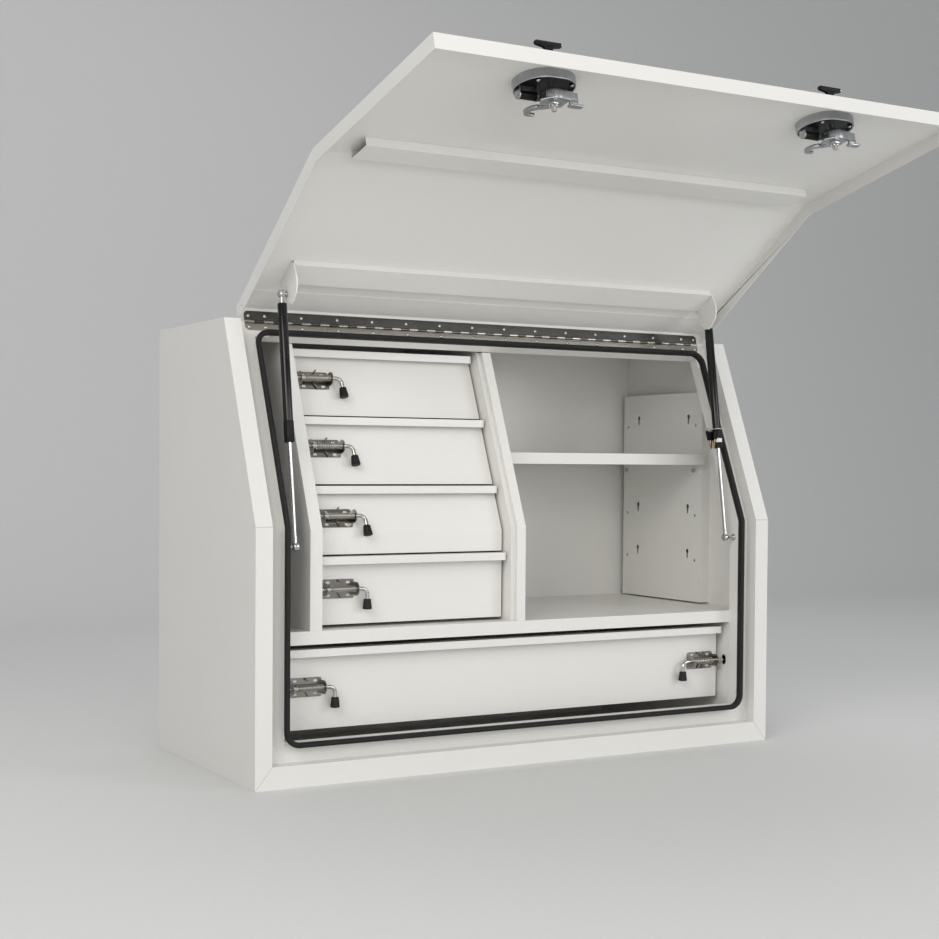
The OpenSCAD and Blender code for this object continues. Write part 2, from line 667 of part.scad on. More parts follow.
// Cam: hub, curved arm, pierced lug, plate, hook and locking tongue, drawn unlocked
module latch_cam(s) color(zinc) as_open() at_latch(s) difference() {
    union() {
        rod_y(28, cam_y, 15);
        cam_slice(cam_y, cam_y - 27) difference() {
            translate([3, 3]) circle(r = arm_r, $fn = 64);
            translate([3, 3]) circle(r = arm_r - 3.6, $fn = 64);
            translate([-30, -5]) square([60, 40]);
            translate([11, -30]) square([20, 60]);
        }
        cam_slice(cam_y, cam_y - 27) polygon([[10.5, -15.5], [43, -9.5], [43, -6], [10.5, -11.7]]);
        cam_slice(cam_y, 3) polygon([[-24, 0], [-14, -11], [-4, -15], [12, -14.5], [25, -12],
            [25, 15], [8, 25], [-3, 33], [-12, 24]]);
        cam_slice(cam_y + 2, 5) polygon([[-6, 22], [-18, 20], [-30, 38], [-26, 50], [-16, 57],
            [-3, 55], [-4, 50], [-13, 50], [-19, 44], [-18, 37], [-8, 29]]);
        box([-14.5, 29.5, -5], [-12, cam_y - 1, 11]);
        translate([0, 29.5, 3]) rod_x(-14.5, -12, 16);
        box([24, cam_y - 2, -12.5], [41, lever_y + 1, -8]);
        box([24, lever_y, -14], [50, lever_y + 3, -2]);
    }
    rod_y(20, 70, stud_d + 2 * fit_gap);
    translate([0, 29.5, 3]) rod_x(-16, -10, 6);
}
// Handle: pivot pins, stem and cross bar with a lock barrel, welded along narrow seams
module latch_handle(s) as_open() at_latch(s) translate([-dish_side, pivot_y, pivot_z]) {
    color(black) {
        for (x = [-13, 7 + seam]) rod_x(x, x + 6 - seam, pivot_d);
        box([-7, -handle_reach + 4 + seam, -3.5], [7, 0, 3.5]);
        rod_x(-7, 7, 8);
        translate([0, -handle_reach, 0]) {
            box([-bar_half, -4, -4], [bar_half, 4, 4]);
            for (k = [-1, 1]) translate([k * bar_half, 4, 0]) rotate([90, 0, 0]) cylinder(d = 8, h = 8);
        }
    }
    color(steel) translate([bar_half - 6, -handle_reach, 0]) rod_x(0, 9, 7.6);
}

// Gas struts
function turned(p, a) = let (q = p - [pin_y, pin_z])
    [pin_y + q[0] * cos(a) + q[1] * sin(a), pin_z - q[0] * sin(a) + q[1] * cos(a)];
top_shut = sp(top_s, top_dep);
top_open = turned(top_shut, lid_open);
strut_len = norm(top_open - low);
strut_shut = norm(top_shut - low);
strut_lean = atan2(top_open[0] - low[0], top_open[1] - low[1]);
strut_neck = 18;
tube_low = strut_len - strut_neck - strut_tube_len;
rod_end = strut_shut - strut_neck - 8;
// Ends of the round ball sockets, away from the wall or bracket and towards it
boss_back = 7;
boss_front = 5;
module at_strut(s) {
    translate([s * strut_x, low_y, strut_low_z]) rotate([-strut_lean, 0, 0]) children();
}
module strut_rod(s) at_strut(s) {
    color(steel) translate([0, 0, 9]) cylinder(d = strut_rod_d, h = rod_end - 9);
    color(zinc) mirror([s < 0 ? 1 : 0, 0, 0]) difference() {
        union() {
            rod_x(-boss_back, boss_front, strut_ball_d + 5);
            translate([0, 0, 3]) cylinder(d = 11, h = 15);
        }
        rod_x(-strut_ball_d / 2 - 0.3, boss_front + 1, strut_ball_d + 0.6);
    }
}
module strut_tube(s) color(black) at_strut(s) translate([0, 0, tube_low]) difference() {
    union() {
        cylinder(d = strut_tube_d, h = strut_tube_len);
        cylinder(d = strut_tube_d + 1.6, h = strut_collar);
    }
    translate([0, 0, -1]) cylinder(d = strut_rod_d + 2 * fit_gap, h = strut_tube_len - 6);
}
// Upper end: neck, ball socket and the ball stud that reaches the lid bracket
module strut_end(s) at_strut(s) translate([0, 0, strut_len]) {
    color(zinc) mirror([s > 0 ? 1 : 0, 0, 0]) {
        translate([0, 0, -strut_neck]) cylinder(d = 9, h = strut_neck - 2);
        rod_x(-boss_back, boss_front, strut_ball_d + 5);
        rod_x(0, strut_x - gusset_x - 0.3, 6);
        rod_x(strut_x - gusset_x - 2.3, strut_x - gusset_x - 0.3, 13);
    }
}
// Keys on a wire loop round the lower end of the right tube
module keys() at_strut(1) translate([0, 0, tube_low + strut_collar + 1.3]) {
    color(steel) rotate_extrude($fn = 48) translate([strut_tube_d / 2 + 1.2, 0]) circle(d = 1.8, $fn = 16);
    for (k = [0, 1]) rotate([0, 0, -12 - 62 * k])
        translate([0, -strut_tube_d / 2 - 3, -4 * k]) {
            color(steel) translate([0, -2.6, -3.4]) rotate([0, 90, 0]) rotate_extrude()
                translate([4.4, 0]) circle(d = 1.4, $fn = 16);
            color(black) translate([0, 0, -15]) rod_y(-2.6, 0.4, 15);
            color([0.75, 0.62, 0.35]) box([-3.2, -2, -46], [3.2, -0.4, -21]);
        }
}

// Drawers 1 to 4, numbered from the top
function drawer_top(i) = drawer_low_top + (4 - i) * drawer_pitch;
function drawer_low(i) = i < 4 ? drawer_top(i + 1) + drawer_gap : deck_z + 6;
drawer_x1 = cab_in + drawer_side_gap;
drawer_x2 = cab_right - drawer_side_gap - 2;
tray_left = drawer_x1 + 10;
tray_right = cab_right - slide_t;
tray_t = 1.2;
// Gap of the welded seams between face, pull and tray
seam = 0.1;
tray_back = yb - 20;
module pull_shape(x1, x2, y, out, r) {
    // Plan of a pull with round front corners
    translate([x1, y - out + r]) square([x2 - x1, out - r]);
    translate([x1 + r, y - out]) square([x2 - x1 - 2 * r, out]);
    for (x = [x1 + r, x2 - r]) translate([x, y - out + r]) circle(r = r);
}
module pull(x1, x2, y, z) {
    translate([0, 0, z - sheet]) linear_extrude(sheet) pull_shape(x1, x2, y, pull_out, 10);
    translate([0, 0, z - pull_drop]) linear_extrude(pull_drop) difference() {
        pull_shape(x1, x2, y, pull_out, 10);
        pull_shape(x1 + sheet, x2 - sheet, y + 1, pull_out + 1 - sheet, 10 - sheet);
    }
}
module tray(x1, x2, z1, z2, d) {
    // Front, floor, sides and back, welded along narrow seams
    z0 = z1 + tray_t + seam;
    y2 = tray_back - tray_t - seam;
    inner = d + tray_t + seam;
    plate(x1, x2, band(d, d + tray_t, z1, z2));
    plate(x1, x2, concat(line_up(inner, z1, z1 + tray_t),
        [[tray_back, z1 + tray_t], [tray_back, z1]]));
    for (x = [x1, x2 - tray_t])
        plate(x, x + tray_t, concat(line_up(inner, z0, z2), [[y2, z2], [y2, z0]]));
    box([x1, tray_back - tray_t, z0], [x2, tray_back, z2]);
}
module drawer(i) color(powder) {
    z1 = drawer_low(i);
    z2 = drawer_top(i);
    d = drawer_deep + sheet;
    plate(drawer_x1, drawer_x2, band(drawer_deep, d, z1, z2));
    difference() {
        pull(drawer_x1, drawer_x2, fy(drawer_deep, z2) + 0.5, z2);
        plate(drawer_x1 - 1, drawer_x2 + 1, band(drawer_deep - seam, d + 20, z1, z2 + 1));
    }
    tray(tray_left, tray_right, z1 + 8, z2 - 30, d + seam);
    y1 = max(fy(drawer_deep + 8, z2), bay_y + 60) + 1;
    for (k = [0, 1]) {
        x = k == 0 ? tray_left - slide_t + rail_wall + 1 : tray_right;
        box([x, y1, slide_z(i) - slide_h / 2 + rail_wall + 0.6],
            [x + slide_t - rail_wall - 1, tray_back - 10, slide_z(i) + slide_h / 2 - rail_wall - 0.6]);
    }
}
module drawer_5() color(powder) {
    x = jamb_x - drawer5_gap;
    z2 = drawer5_z0 + drawer5_h;
    box([-x, drawer5_y, drawer5_z0], [x, drawer5_y + sheet, z2]);
    pull(-x, x, drawer5_y - seam, z2);
    difference() {
        box([-x, drawer5_y + sheet + seam, drawer5_z0 + 8], [x, tray_back, z2 - 30]);
        box([-x + tray_t, drawer5_y, drawer5_z0 + 8 + tray_t],
            [x - tray_t, tray_back - tray_t, z2]);
    }
    zc = drawer5_z0 + 60;
    both() box([x, drawer5_y + 14, zc - slide_h / 2 + rail_wall + 0.6],
        [x + drawer5_gap / 2, tray_back - 10, zc + slide_h / 2 - rail_wall - 0.6]);
}

// Spring bolts. The bolt frame lies on the drawer face, X along the bolt, Y out of the face
function face_z(i) = (drawer_low(i) + drawer_top(i)) / 2 + 3;
module at_face(i) {
    z = face_z(i);
    translate([0, fy(drawer_deep, z), z]) rotate([z > bend_z(drawer_deep) ? -tilt : 0, 0, 0])
        children();
}
bolt_x = drawer_x1 + 15;
left5_x = -jamb_x + 30;
right5_x = jamb_x - 22;
module at_bolt(n) {
    // n 1 to 4 on the small drawers, 5 and 6 at the ends of the long drawer
    if (n < 5) translate([bolt_x, 0, 0]) at_face(n) children();
    if (n == 5) translate([left5_x, drawer5_y, bolt5_z]) children();
    if (n == 6) translate([right5_x, drawer5_y, bolt5_z]) mirror([1, 0, 0]) children();
}
ear_t = 1.6;
hole_d = bolt_d + 2 * fit_gap;
module bracket() color(zinc) difference() {
    union() {
        box([0, -ear_t, -bolt_plate_h / 2], [bolt_len, 0, bolt_plate_h / 2]);
        for (x = [0, bolt_len - ear_t]) {
            box([x, -bolt_off, -9], [x + ear_t, 0, 9]);
            translate([0, -bolt_off, 0]) rod_x(x, x + ear_t, 18);
        }
    }
    translate([0, -bolt_off, 0]) rod_x(-1, bolt_len + 1, hole_d);
    for (x = [14, bolt_len - 14]) for (z = [-13, 13]) translate([x, 0, z]) rod_y(-3, 1, 4);
}
washer_x = 13;
washer_t = 1.2;
grip_x = bolt_len + bolt_d / 2 + 18;
function tip_x(n) = n < 5 ? drawer_x1 - drawer_side_gap - bolt_x + 0.6 :
    (n == 5 ? -jamb_x - left5_x : right5_x - jamb_x) + leg + 2;
module bolt_rod(n) at_bolt(n) translate([0, -bolt_off, 0]) {
    color(zinc) {
        rod_x(tip_x(n), grip_x, bolt_d);
        translate([grip_x, 0, 0]) sphere(d = bolt_d);
        translate([grip_x, 0, -21.5]) cylinder(d = bolt_d, h = 21.5);
        rod_x(washer_x, washer_x + washer_t, 13);
        translate([washer_x - 1.6, 0, -6.5]) cylinder(d = 2.5, h = 13);
    }
    color(black) translate([grip_x, 0, -41]) cylinder(d1 = 18.5, d2 = 14, h = 20);
}

// Spring: one tube that winds round the bolt, with a straight run at each end
coil_r = bolt_d / 2 + wire_d / 2 + 0.6;
coil_x1 = washer_x + washer_t + 0.1;
coil_x2 = bolt_len - ear_t - 0.1;
steps = 8;
function unit(v) = v / norm(v);
function coil_at(i) = let (a = 360 * i / steps, u = i / (steps * curls))
    [coil_x1 + wire_d + u * (coil_x2 - coil_x1 - 2 * wire_d), coil_r * cos(a), coil_r * sin(a)];
coil_path = concat([coil_at(0) - [wire_d, 0, 0]], [for (i = [0:steps * curls]) coil_at(i)],
    [coil_at(steps * curls) + [wire_d, 0, 0]]);
// Least gap of the coil to itself, over points more than half a curl apart
coil_mid = [for (i = [0:steps * 2]) coil_at(i)];
coil_gap = min([for (i = [0:steps]) for (j = [i + steps / 2 + 1:steps * 2])
    norm(coil_mid[i] - coil_mid[j])]) - wire_d;
echo(coil_gap = coil_gap);
module wire(path, d, sides) {
    m = len(path);
    dir = [for (i = [0:m - 1]) unit(path[min(m - 1, i + 1)] - path[max(0, i - 1)])];
    out = [for (i = [0:m - 1]) let (r = [0, path[i][1], path[i][2]])
        unit(r - (r * dir[i]) * dir[i])];
    pts = [for (i = [0:m - 1]) for (j = [0:sides - 1]) let (a = 360 * j / sides,
        v = cross(dir[i], out[i])) path[i] + d / 2 * (cos(a) * out[i] + sin(a) * v)];
    walls = [for (i = [0:m - 2]) for (j = [0:sides - 1]) let (k = (j + 1) % sides)
        each [[i * sides + j, (i + 1) * sides + j, (i + 1) * sides + k],
              [i * sides + j, (i + 1) * sides + k, i * sides + k]]];
    caps = [for (j = [1:sides - 2]) each [[0, j, j + 1],
        [(m - 1) * sides, (m - 1) * sides + j + 1, (m - 1) * sides + j]]];
    polyhedron(pts, concat(walls, caps), convexity = 8);
}
module bolt_spring(n) color(steel) at_bolt(n) translate([0, -bolt_off, 0])
    wire(coil_path, wire_d, 6);

case_wrap();
end_panel();  // left_end_panel
mirror([1, 0, 0]) end_panel();  // right_end_panel
front_frame();
door_seal();
middle_deck();
lower_bay_walls();
cabinet_left_wall();
cabinet_right_wall();
keyhole_panel();
shelf();
shelf_brackets();
shelf_bolts();
runner_rails();
hinge_case_leaf();
hinge_pin();
hinge_case_screws();
strut_wall_studs();
lid_panel();
lid_middle_rail();
lid_hinge_rail();
strut_brackets();
hinge_lid_leaf();
hinge_lid_screws();
latch_housings();
latch_clamp_rings();
latch_nuts();
latch_handle(-1);  // left_latch_handle
latch_handle(1);  // right_latch_handle
latch_cam(-1);  // left_latch_cam
latch_cam(1);  // right_latch_cam
strut_rod(-1);  // left_strut_rod
strut_tube(-1);  // left_strut_tube
strut_end(-1);  // left_strut_end
strut_rod(1);  // right_strut_rod
strut_tube(1);  // right_strut_tube
strut_end(1);  // right_strut_end
keys();
drawer(1);  // drawer_1
drawer(2);  // drawer_2
drawer(3);  // drawer_3
drawer(4);  // drawer_4
drawer_5();
at_bolt(1) bracket();  // bolt_bracket_1
at_bolt(2) bracket();  // bolt_bracket_2
at_bolt(3) bracket();  // bolt_bracket_3
at_bolt(4) bracket();  // bolt_bracket_4
union() {  // bolt_brackets_5
    at_bolt(5) bracket();
    at_bolt(6) bracket();
}
bolt_rod(1);  // bolt_rod_1
bolt_rod(2);  // bolt_rod_2
bolt_rod(3);  // bolt_rod_3
bolt_rod(4);  // bolt_rod_4
bolt_rod(5);  // bolt_rod_5_left
bolt_rod(6);  // bolt_rod_5_right
bolt_spring(1);  // bolt_spring_1
bolt_spring(2);  // bolt_spring_2
bolt_spring(3);  // bolt_spring_3
bolt_spring(4);  // bolt_spring_4
bolt_spring(5);  // bolt_spring_5_left
bolt_spring(6);  // bolt_spring_5_right
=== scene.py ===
# Gullwing toolbox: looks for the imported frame
import json
import math

import bmesh
import bpy
from mathutils import Matrix, Vector


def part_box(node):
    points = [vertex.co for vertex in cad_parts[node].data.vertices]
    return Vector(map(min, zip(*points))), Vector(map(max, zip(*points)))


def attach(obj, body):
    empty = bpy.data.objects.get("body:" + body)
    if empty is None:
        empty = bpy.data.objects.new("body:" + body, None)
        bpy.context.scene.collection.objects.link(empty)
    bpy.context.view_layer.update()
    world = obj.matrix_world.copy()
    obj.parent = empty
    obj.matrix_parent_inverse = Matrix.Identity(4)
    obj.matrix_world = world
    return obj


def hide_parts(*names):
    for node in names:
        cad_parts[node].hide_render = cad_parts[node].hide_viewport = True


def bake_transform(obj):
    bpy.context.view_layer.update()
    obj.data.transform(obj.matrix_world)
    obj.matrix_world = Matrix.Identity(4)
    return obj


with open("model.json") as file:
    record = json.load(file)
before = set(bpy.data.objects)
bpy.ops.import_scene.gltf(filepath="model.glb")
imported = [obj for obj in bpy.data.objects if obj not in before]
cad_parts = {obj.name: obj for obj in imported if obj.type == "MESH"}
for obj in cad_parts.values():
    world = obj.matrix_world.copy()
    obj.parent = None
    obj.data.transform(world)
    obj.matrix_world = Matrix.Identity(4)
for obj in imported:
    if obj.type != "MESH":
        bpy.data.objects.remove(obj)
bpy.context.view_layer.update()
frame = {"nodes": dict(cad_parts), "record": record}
bodyOf = {node: body for body, nodes in frame["record"]["behaviour"]["bodies"].items()
          for node in nodes}
mm = 0.001

# Driving sizes of the case, in mm as in the part
case = dict(width=1200, depth=515, height=870, topDepth=358, bendHeight=480, sheet=1.6,
            faceSide=34, faceBottom=42, gutterWidth=35, topFace=25.4, jambGap=1)
lidSizes = dict(openAngle=103.4, proud=2)
front = -case["depth"] / 2
lean = (case["depth"] - case["topDepth"]) / (case["height"] - case["bendHeight"])
tilt = math.atan(lean)
openX = case["width"] / 2 - case["faceSide"]
jambX = openX - case["gutterWidth"]
jambZ = case["faceBottom"] + case["gutterWidth"] + case["sheet"] + case["jambGap"]


def bendZ(depth):
    return case["bendHeight"] - depth * math.tan(tilt / 2)


def frontY(depth, z):  # depth line behind the front, at height z
    return front + depth + max(0, z - bendZ(depth)) * lean


def slopePoint(s, depth):  # point at distance s up the slope
    return (front + s * math.sin(tilt) + depth * math.cos(tilt),
            case["bendHeight"] + s * math.cos(tilt) - depth * math.sin(tilt))


# Scene and camera
print("stage: camera")
camera = dict(place=(-1714.2, -2897.2, 595.9), yaw=29.173, pitch=-1.54, roll=0.369,
              focal=1581.9, centre=(430.2, 506.7), size=939, sensor=36, farEnd=60)


def addCamera(c):
    yaw, pitch, roll = (math.radians(c[k]) for k in ("yaw", "pitch", "roll"))
    ahead = Vector((math.sin(yaw) * math.cos(pitch), math.cos(yaw) * math.cos(pitch),
                    math.sin(pitch)))
    right0 = Vector((math.cos(yaw), -math.sin(yaw), 0))
    up0 = right0.cross(ahead)
    right = right0 * math.cos(roll) + up0 * math.sin(roll)
    up = up0 * math.cos(roll) - right0 * math.sin(roll)
    data = bpy.data.cameras.new("camera")
    data.sensor_width = c["sensor"]
    data.lens = c["focal"] / c["size"] * c["sensor"]
    data.shift_x = (c["size"] / 2 - c["centre"][0]) / c["size"]
    data.shift_y = (c["centre"][1] - c["size"] / 2) / c["size"]
    data.clip_end = c["farEnd"]
    cam = bpy.data.objects.new("camera", data)
    bpy.context.collection.objects.link(cam)
    turn = Matrix((right, up, -ahead)).transposed().to_4x4()
    cam.matrix_world = Matrix.Translation(Vector(c["place"]) * mm) @ turn
    bpy.context.scene.camera = cam


addCamera(camera)
bpy.context.scene.view_settings.view_transform = "Standard"


# Node helpers
def newMaterial(name):
    material = bpy.data.materials.new(name)
    material.use_nodes = True
    material.node_tree.nodes.clear()
    return material, material.node_tree


def fillSocket(tree, socket, value):  # a link from a node or a plain value
    if isinstance(value, bpy.types.NodeSocket):
        tree.links.new(value, socket)
    else:
        socket.default_value = value


def addNode(tree, kind, settings=None, **inputs):
    node = tree.nodes.new(kind)
    for key, value in (settings or {}).items():
        setattr(node, key, value)
    for key, value in inputs.items():
        fillSocket(tree, node.inputs[key.replace("_", " ")], value)
    return node


def addGroup(name, inputs, outputs):
    group = bpy.data.node_groups.new(name, "ShaderNodeTree")
    for socketName, kind, value in inputs:
        socket = group.interface.new_socket(socketName, in_out="INPUT", socket_type=kind)
        socket.default_value = value
    for socketName, kind in outputs:
        group.interface.new_socket(socketName, in_out="OUTPUT", socket_type=kind)
    return group, group.nodes.new("NodeGroupInput"), group.nodes.new("NodeGroupOutput")


def mathNode(tree, operation, *values):
    node = tree.nodes.new("ShaderNodeMath")
    node.operation = operation
    for index, value in enumerate(values):
        fillSocket(tree, node.inputs[index], value)
    return node.outputs[0]


def rangeNode(tree, value, low, high, outLow=0.0, outHigh=1.0):
    node = addNode(tree, "ShaderNodeMapRange", Value=value, From_Min=low, From_Max=high,
                   To_Min=outLow, To_Max=outHigh)
    return node.outputs["Result"]


def mixColours(tree, factor, a, b):
    node = tree.nodes.new("ShaderNodeMix")
    node.data_type = "RGBA"
    for index, value in ((0, factor), (6, a), (7, b)):  # the colour sockets of the node
        fillSocket(tree, node.inputs[index], value)
    return node.outputs[2]


# Shared surface effects
print("stage: node groups")
peelNoise = dict(fine=420.0, fineShare=0.6, coarse=130.0, coarseShare=0.4, cloud=3.2)
brushNoise = dict(along=(6.0, 900.0, 900.0), blotch=60.0)


def makeOrangePeel(n):
    group, start, end = addGroup(
        "orangePeel",
        [("Grain Size", "NodeSocketFloat", 1.0), ("Cloud Size", "NodeSocketFloat", 1.0)],
        [("Height", "NodeSocketFloat"), ("Cloud", "NodeSocketFloat")])
    where = addNode(group, "ShaderNodeTexCoord").outputs["Object"]
    grain, spread = start.outputs["Grain Size"], start.outputs["Cloud Size"]
    fine = addNode(group, "ShaderNodeTexNoise", Vector=where, Detail=2.0, Roughness=0.5,
                   Scale=mathNode(group, "DIVIDE", n["fine"], grain))
    coarse = addNode(group, "ShaderNodeTexNoise", Vector=where, Detail=1.0,
                     Scale=mathNode(group, "DIVIDE", n["coarse"], grain))
    cloud = addNode(group, "ShaderNodeTexNoise", Vector=where, Detail=4.0, Roughness=0.6,
                    Scale=mathNode(group, "DIVIDE", n["cloud"], spread))
    height = mathNode(group, "ADD",
                      mathNode(group, "MULTIPLY", fine.outputs["Fac"], n["fineShare"]),
                      mathNode(group, "MULTIPLY", coarse.outputs["Fac"], n["coarseShare"]))
    group.links.new(height, end.inputs["Height"])
    group.links.new(cloud.outputs["Fac"], end.inputs["Cloud"])
    return group


def makeBrushed(n):
    group, start, end = addGroup(
        "brushed",
        [("Along", "NodeSocketVector", n["along"]), ("Blotch Size", "NodeSocketFloat", 1.0)],
        [("Lines", "NodeSocketFloat"), ("Blotch", "NodeSocketFloat")])
    where = addNode(group, "ShaderNodeTexCoord").outputs["Object"]
    scaled = addNode(group, "ShaderNodeVectorMath", {"operation": "MULTIPLY"})
    group.links.new(where, scaled.inputs[0])
    group.links.new(start.outputs["Along"], scaled.inputs[1])
    lines = addNode(group, "ShaderNodeTexNoise", Vector=scaled.outputs[0], Scale=1.0, Detail=3.0)
    size = mathNode(group, "DIVIDE", n["blotch"], start.outputs["Blotch Size"])
    blotch = addNode(group, "ShaderNodeTexNoise", Vector=where, Detail=5.0, Roughness=0.65,
                     Scale=size)
    group.links.new(lines.outputs["Fac"], end.inputs["Lines"])
    group.links.new(blotch.outputs["Fac"], end.inputs["Blotch"])
    return group


orangePeel = makeOrangePeel(peelNoise)
brushed = makeBrushed(brushNoise)


def useGroup(tree, group, **inputs):
    node = tree.nodes.new("ShaderNodeGroup")
    node.node_tree = group
    for key, value in inputs.items():
        node.inputs[key.replace("_", " ")].default_value = value
    return node


# Materials
print("stage: materials")
paleSpread, blackSpread, roughSpread = (0.35, 0.7), (0.4, 0.65), (0.3, 0.7)  # of the noise
bumpDepth = 0.0002
paint = dict(colour=(0.80, 0.792, 0.76, 1), dark=(0.783, 0.774, 0.741, 1), rough=(0.35, 0.44),
             grain=1.0, bump=0.06, coat=0.25, coatRough=0.22, ior=1.5)
seam = dict(slack=0.45, fade=2.2, shade=(0.55, 0.54, 0.51, 1))


def seamMask(tree, q):  # fine filled weld lines: at the bend and mitred at the lower corners
    where = addNode(tree, "ShaderNodeTexCoord").outputs["Object"]
    split = addNode(tree, "ShaderNodeSeparateXYZ", Vector=where)
    inward = mathNode(tree, "SUBTRACT", case["width"] / 2 * mm,
                      mathNode(tree, "ABSOLUTE", split.outputs["X"]))
    atBend = mathNode(tree, "ABSOLUTE", mathNode(tree, "SUBTRACT", split.outputs["Z"],
                                                 case["bendHeight"] * mm))
    mitre = mathNode(tree, "MULTIPLY", split.outputs["Z"], case["faceSide"] / case["faceBottom"])
    atCorner = mathNode(tree, "ABSOLUTE", mathNode(tree, "SUBTRACT", inward, mitre))
    onFace = mathNode(tree, "LESS_THAN", inward, case["faceSide"] * mm)
    lines = [rangeNode(tree, value, q["slack"] * mm, q["fade"] * q["slack"] * mm, 1.0, 0.0)
             for value in (atBend, atCorner)]
    return mathNode(tree, "MULTIPLY", onFace, mathNode(tree, "MAXIMUM", *lines))


def addShader(tree, **inputs):
    shader = addNode(tree, "ShaderNodeBsdfPrincipled", **inputs)
    out = tree.nodes.new("ShaderNodeOutputMaterial")
    tree.links.new(shader.outputs[0], out.inputs[0])


def addSurface(tree, cloud, height, p, spread, seams=None, **more):
    colour = mixColours(tree, rangeNode(tree, cloud, *spread), p["colour"], p["dark"])
    if seams:
        colour = mixColours(tree, seamMask(tree, seams), colour, seams["shade"])
    bump = addNode(tree, "ShaderNodeBump", Height=height, Strength=p["bump"], Distance=bumpDepth)
    rough = rangeNode(tree, cloud, *roughSpread, *p["rough"])
    addShader(tree, Base_Color=colour, Roughness=rough, Normal=bump.outputs[0], **more)


def paintMaterial(name, p, seams=None):
    material, tree = newMaterial(name)
    peel = useGroup(tree, orangePeel, Grain_Size=p["grain"])
    addSurface(tree, peel.outputs["Cloud"], peel.outputs["Height"], p, paleSpread, seams,
               IOR=p["ior"], Coat_Weight=p["coat"], Coat_Roughness=p["coatRough"])
    return material


evenly = (900.0, 900.0, 900.0)
lengthways = (14.0, 900.0, 900.0)
metals = dict(
    stainless=dict(colour=(0.54, 0.51, 0.465, 1), dark=(0.42, 0.395, 0.355, 1),
                   rough=(0.18, 0.3), along=lengthways, bump=0.06, blotch=3.5),
    # darker copy of the stainless for the lid's hinge leaf: painted shade on the same metal as the
    # case leaf
    lidStainlessPaintedShade=dict(colour=(0.13, 0.127, 0.12, 1), dark=(0.09, 0.087, 0.082, 1),
                      rough=(0.14, 0.24), along=lengthways, bump=0.06, blotch=3.5),
    zinc=dict(colour=(0.62, 0.605, 0.57, 1), dark=(0.54, 0.52, 0.48, 1),
              rough=(0.16, 0.26), along=evenly, bump=0.012, blotch=2.5),
    # darker copy of the bright metal for the bolt brackets: painted dark reflection and shade, not
    # a different finish
    polished=dict(colour=(0.36, 0.345, 0.315, 1), dark=(0.26, 0.25, 0.225, 1),
                  rough=(0.12, 0.2), along=evenly, bump=0.012, blotch=2.5),
    castZinc=dict(colour=(0.50, 0.515, 0.53, 1), dark=(0.36, 0.375, 0.39, 1),
                  rough=(0.28, 0.42), along=evenly, bump=0.08, blotch=2.0),
    chrome=dict(colour=(0.62, 0.625, 0.63, 1), dark=(0.55, 0.555, 0.56, 1),
                rough=(0.07, 0.14), along=(300.0, 300.0, 300.0), bump=0.01, blotch=3.0),
    brass=dict(colour=(0.66, 0.46, 0.2, 1), dark=(0.5, 0.34, 0.15, 1),
               rough=(0.2, 0.36), along=(700.0, 700.0, 700.0), bump=0.04, blotch=0.6))


def metalMaterial(name, p):
    material, tree = newMaterial(name)
    lines = useGroup(tree, brushed, Along=p["along"], Blotch_Size=p["blotch"])
    addSurface(tree, lines.outputs["Blotch"], lines.outputs["Lines"], p, paleSpread,
               Metallic=1.0)
    return material


# Rubber, plastics and the blank sticker
blacks = dict(
    rubber=dict(colour=(0.009, 0.009, 0.0095, 1), dark=(0.015, 0.015, 0.015, 1),
                rough=(0.5, 0.68), grain=0.7, bump=0.12, shine=0.3),
    glossBlack=dict(colour=(0.004, 0.004, 0.0045, 1), dark=(0.007, 0.007, 0.007, 1),
                    rough=(0.14, 0.22), grain=1.6, bump=0.03, shine=0.4),
    plastic=dict(colour=(0.005, 0.005, 0.0055, 1), dark=(0.009, 0.009, 0.009, 1),
                 rough=(0.34, 0.5), grain=0.5, bump=0.14, shine=0.22),
    label=dict(colour=(0.78, 0.78, 0.77, 1), dark=(0.72, 0.72, 0.71, 1),
               rough=(0.4, 0.5), grain=0.6, bump=0.04, shine=0.5))
blackCloud = 0.2


def blackMaterial(name, p):
    material, tree = newMaterial(name)
    peel = useGroup(tree, orangePeel, Grain_Size=p["grain"], Cloud_Size=blackCloud)
    addSurface(tree, peel.outputs["Cloud"], peel.outputs["Height"], p, blackSpread,
               Specular_IOR_Level=p["shine"])
    return material


finish = {"powder": paintMaterial("powderCoat", paint),
          "seamed": paintMaterial("powderCoatSeamed", paint, seam)}
for key, values in metals.items():
    finish[key] = metalMaterial(key, values)
for key, values in blacks.items():
    finish[key] = blackMaterial(key, values)


# Sheet metal: each folded piece keeps its CAD shape and gets softened edges
print("stage: sheet metal")
sheetLook = dict(edge=0.0005, segments=2, crease=14, weld=2e-5, flat=0.3, faceWeight=100)


def cleanCopy(node):
    mesh = bmesh.new()
    mesh.from_mesh(frame["nodes"][node].data)
    bmesh.ops.remove_doubles(mesh, verts=mesh.verts, dist=sheetLook["weld"])
    bmesh.ops.dissolve_limit(mesh, angle_limit=math.radians(sheetLook["flat"]),
                             verts=mesh.verts, edges=mesh.edges)
    return mesh


def finishPiece(name, mesh, node, material, stretch=None):  # one piece that stands for a node
    data = bpy.data.meshes.new(name)
    mesh.to_mesh(data)
    mesh.free()
    obj = bpy.data.objects.new(name, data)
    bpy.context.collection.objects.link(obj)
    obj.data.materials.append(finish[material])
    if stretch:  # two bodies and the points between which the piece stretches; only whether it is given is read here, and the piece is baked in place without a body
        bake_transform(obj)
    else:
        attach(obj, bodyOf[node])
    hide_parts(node)
    return obj


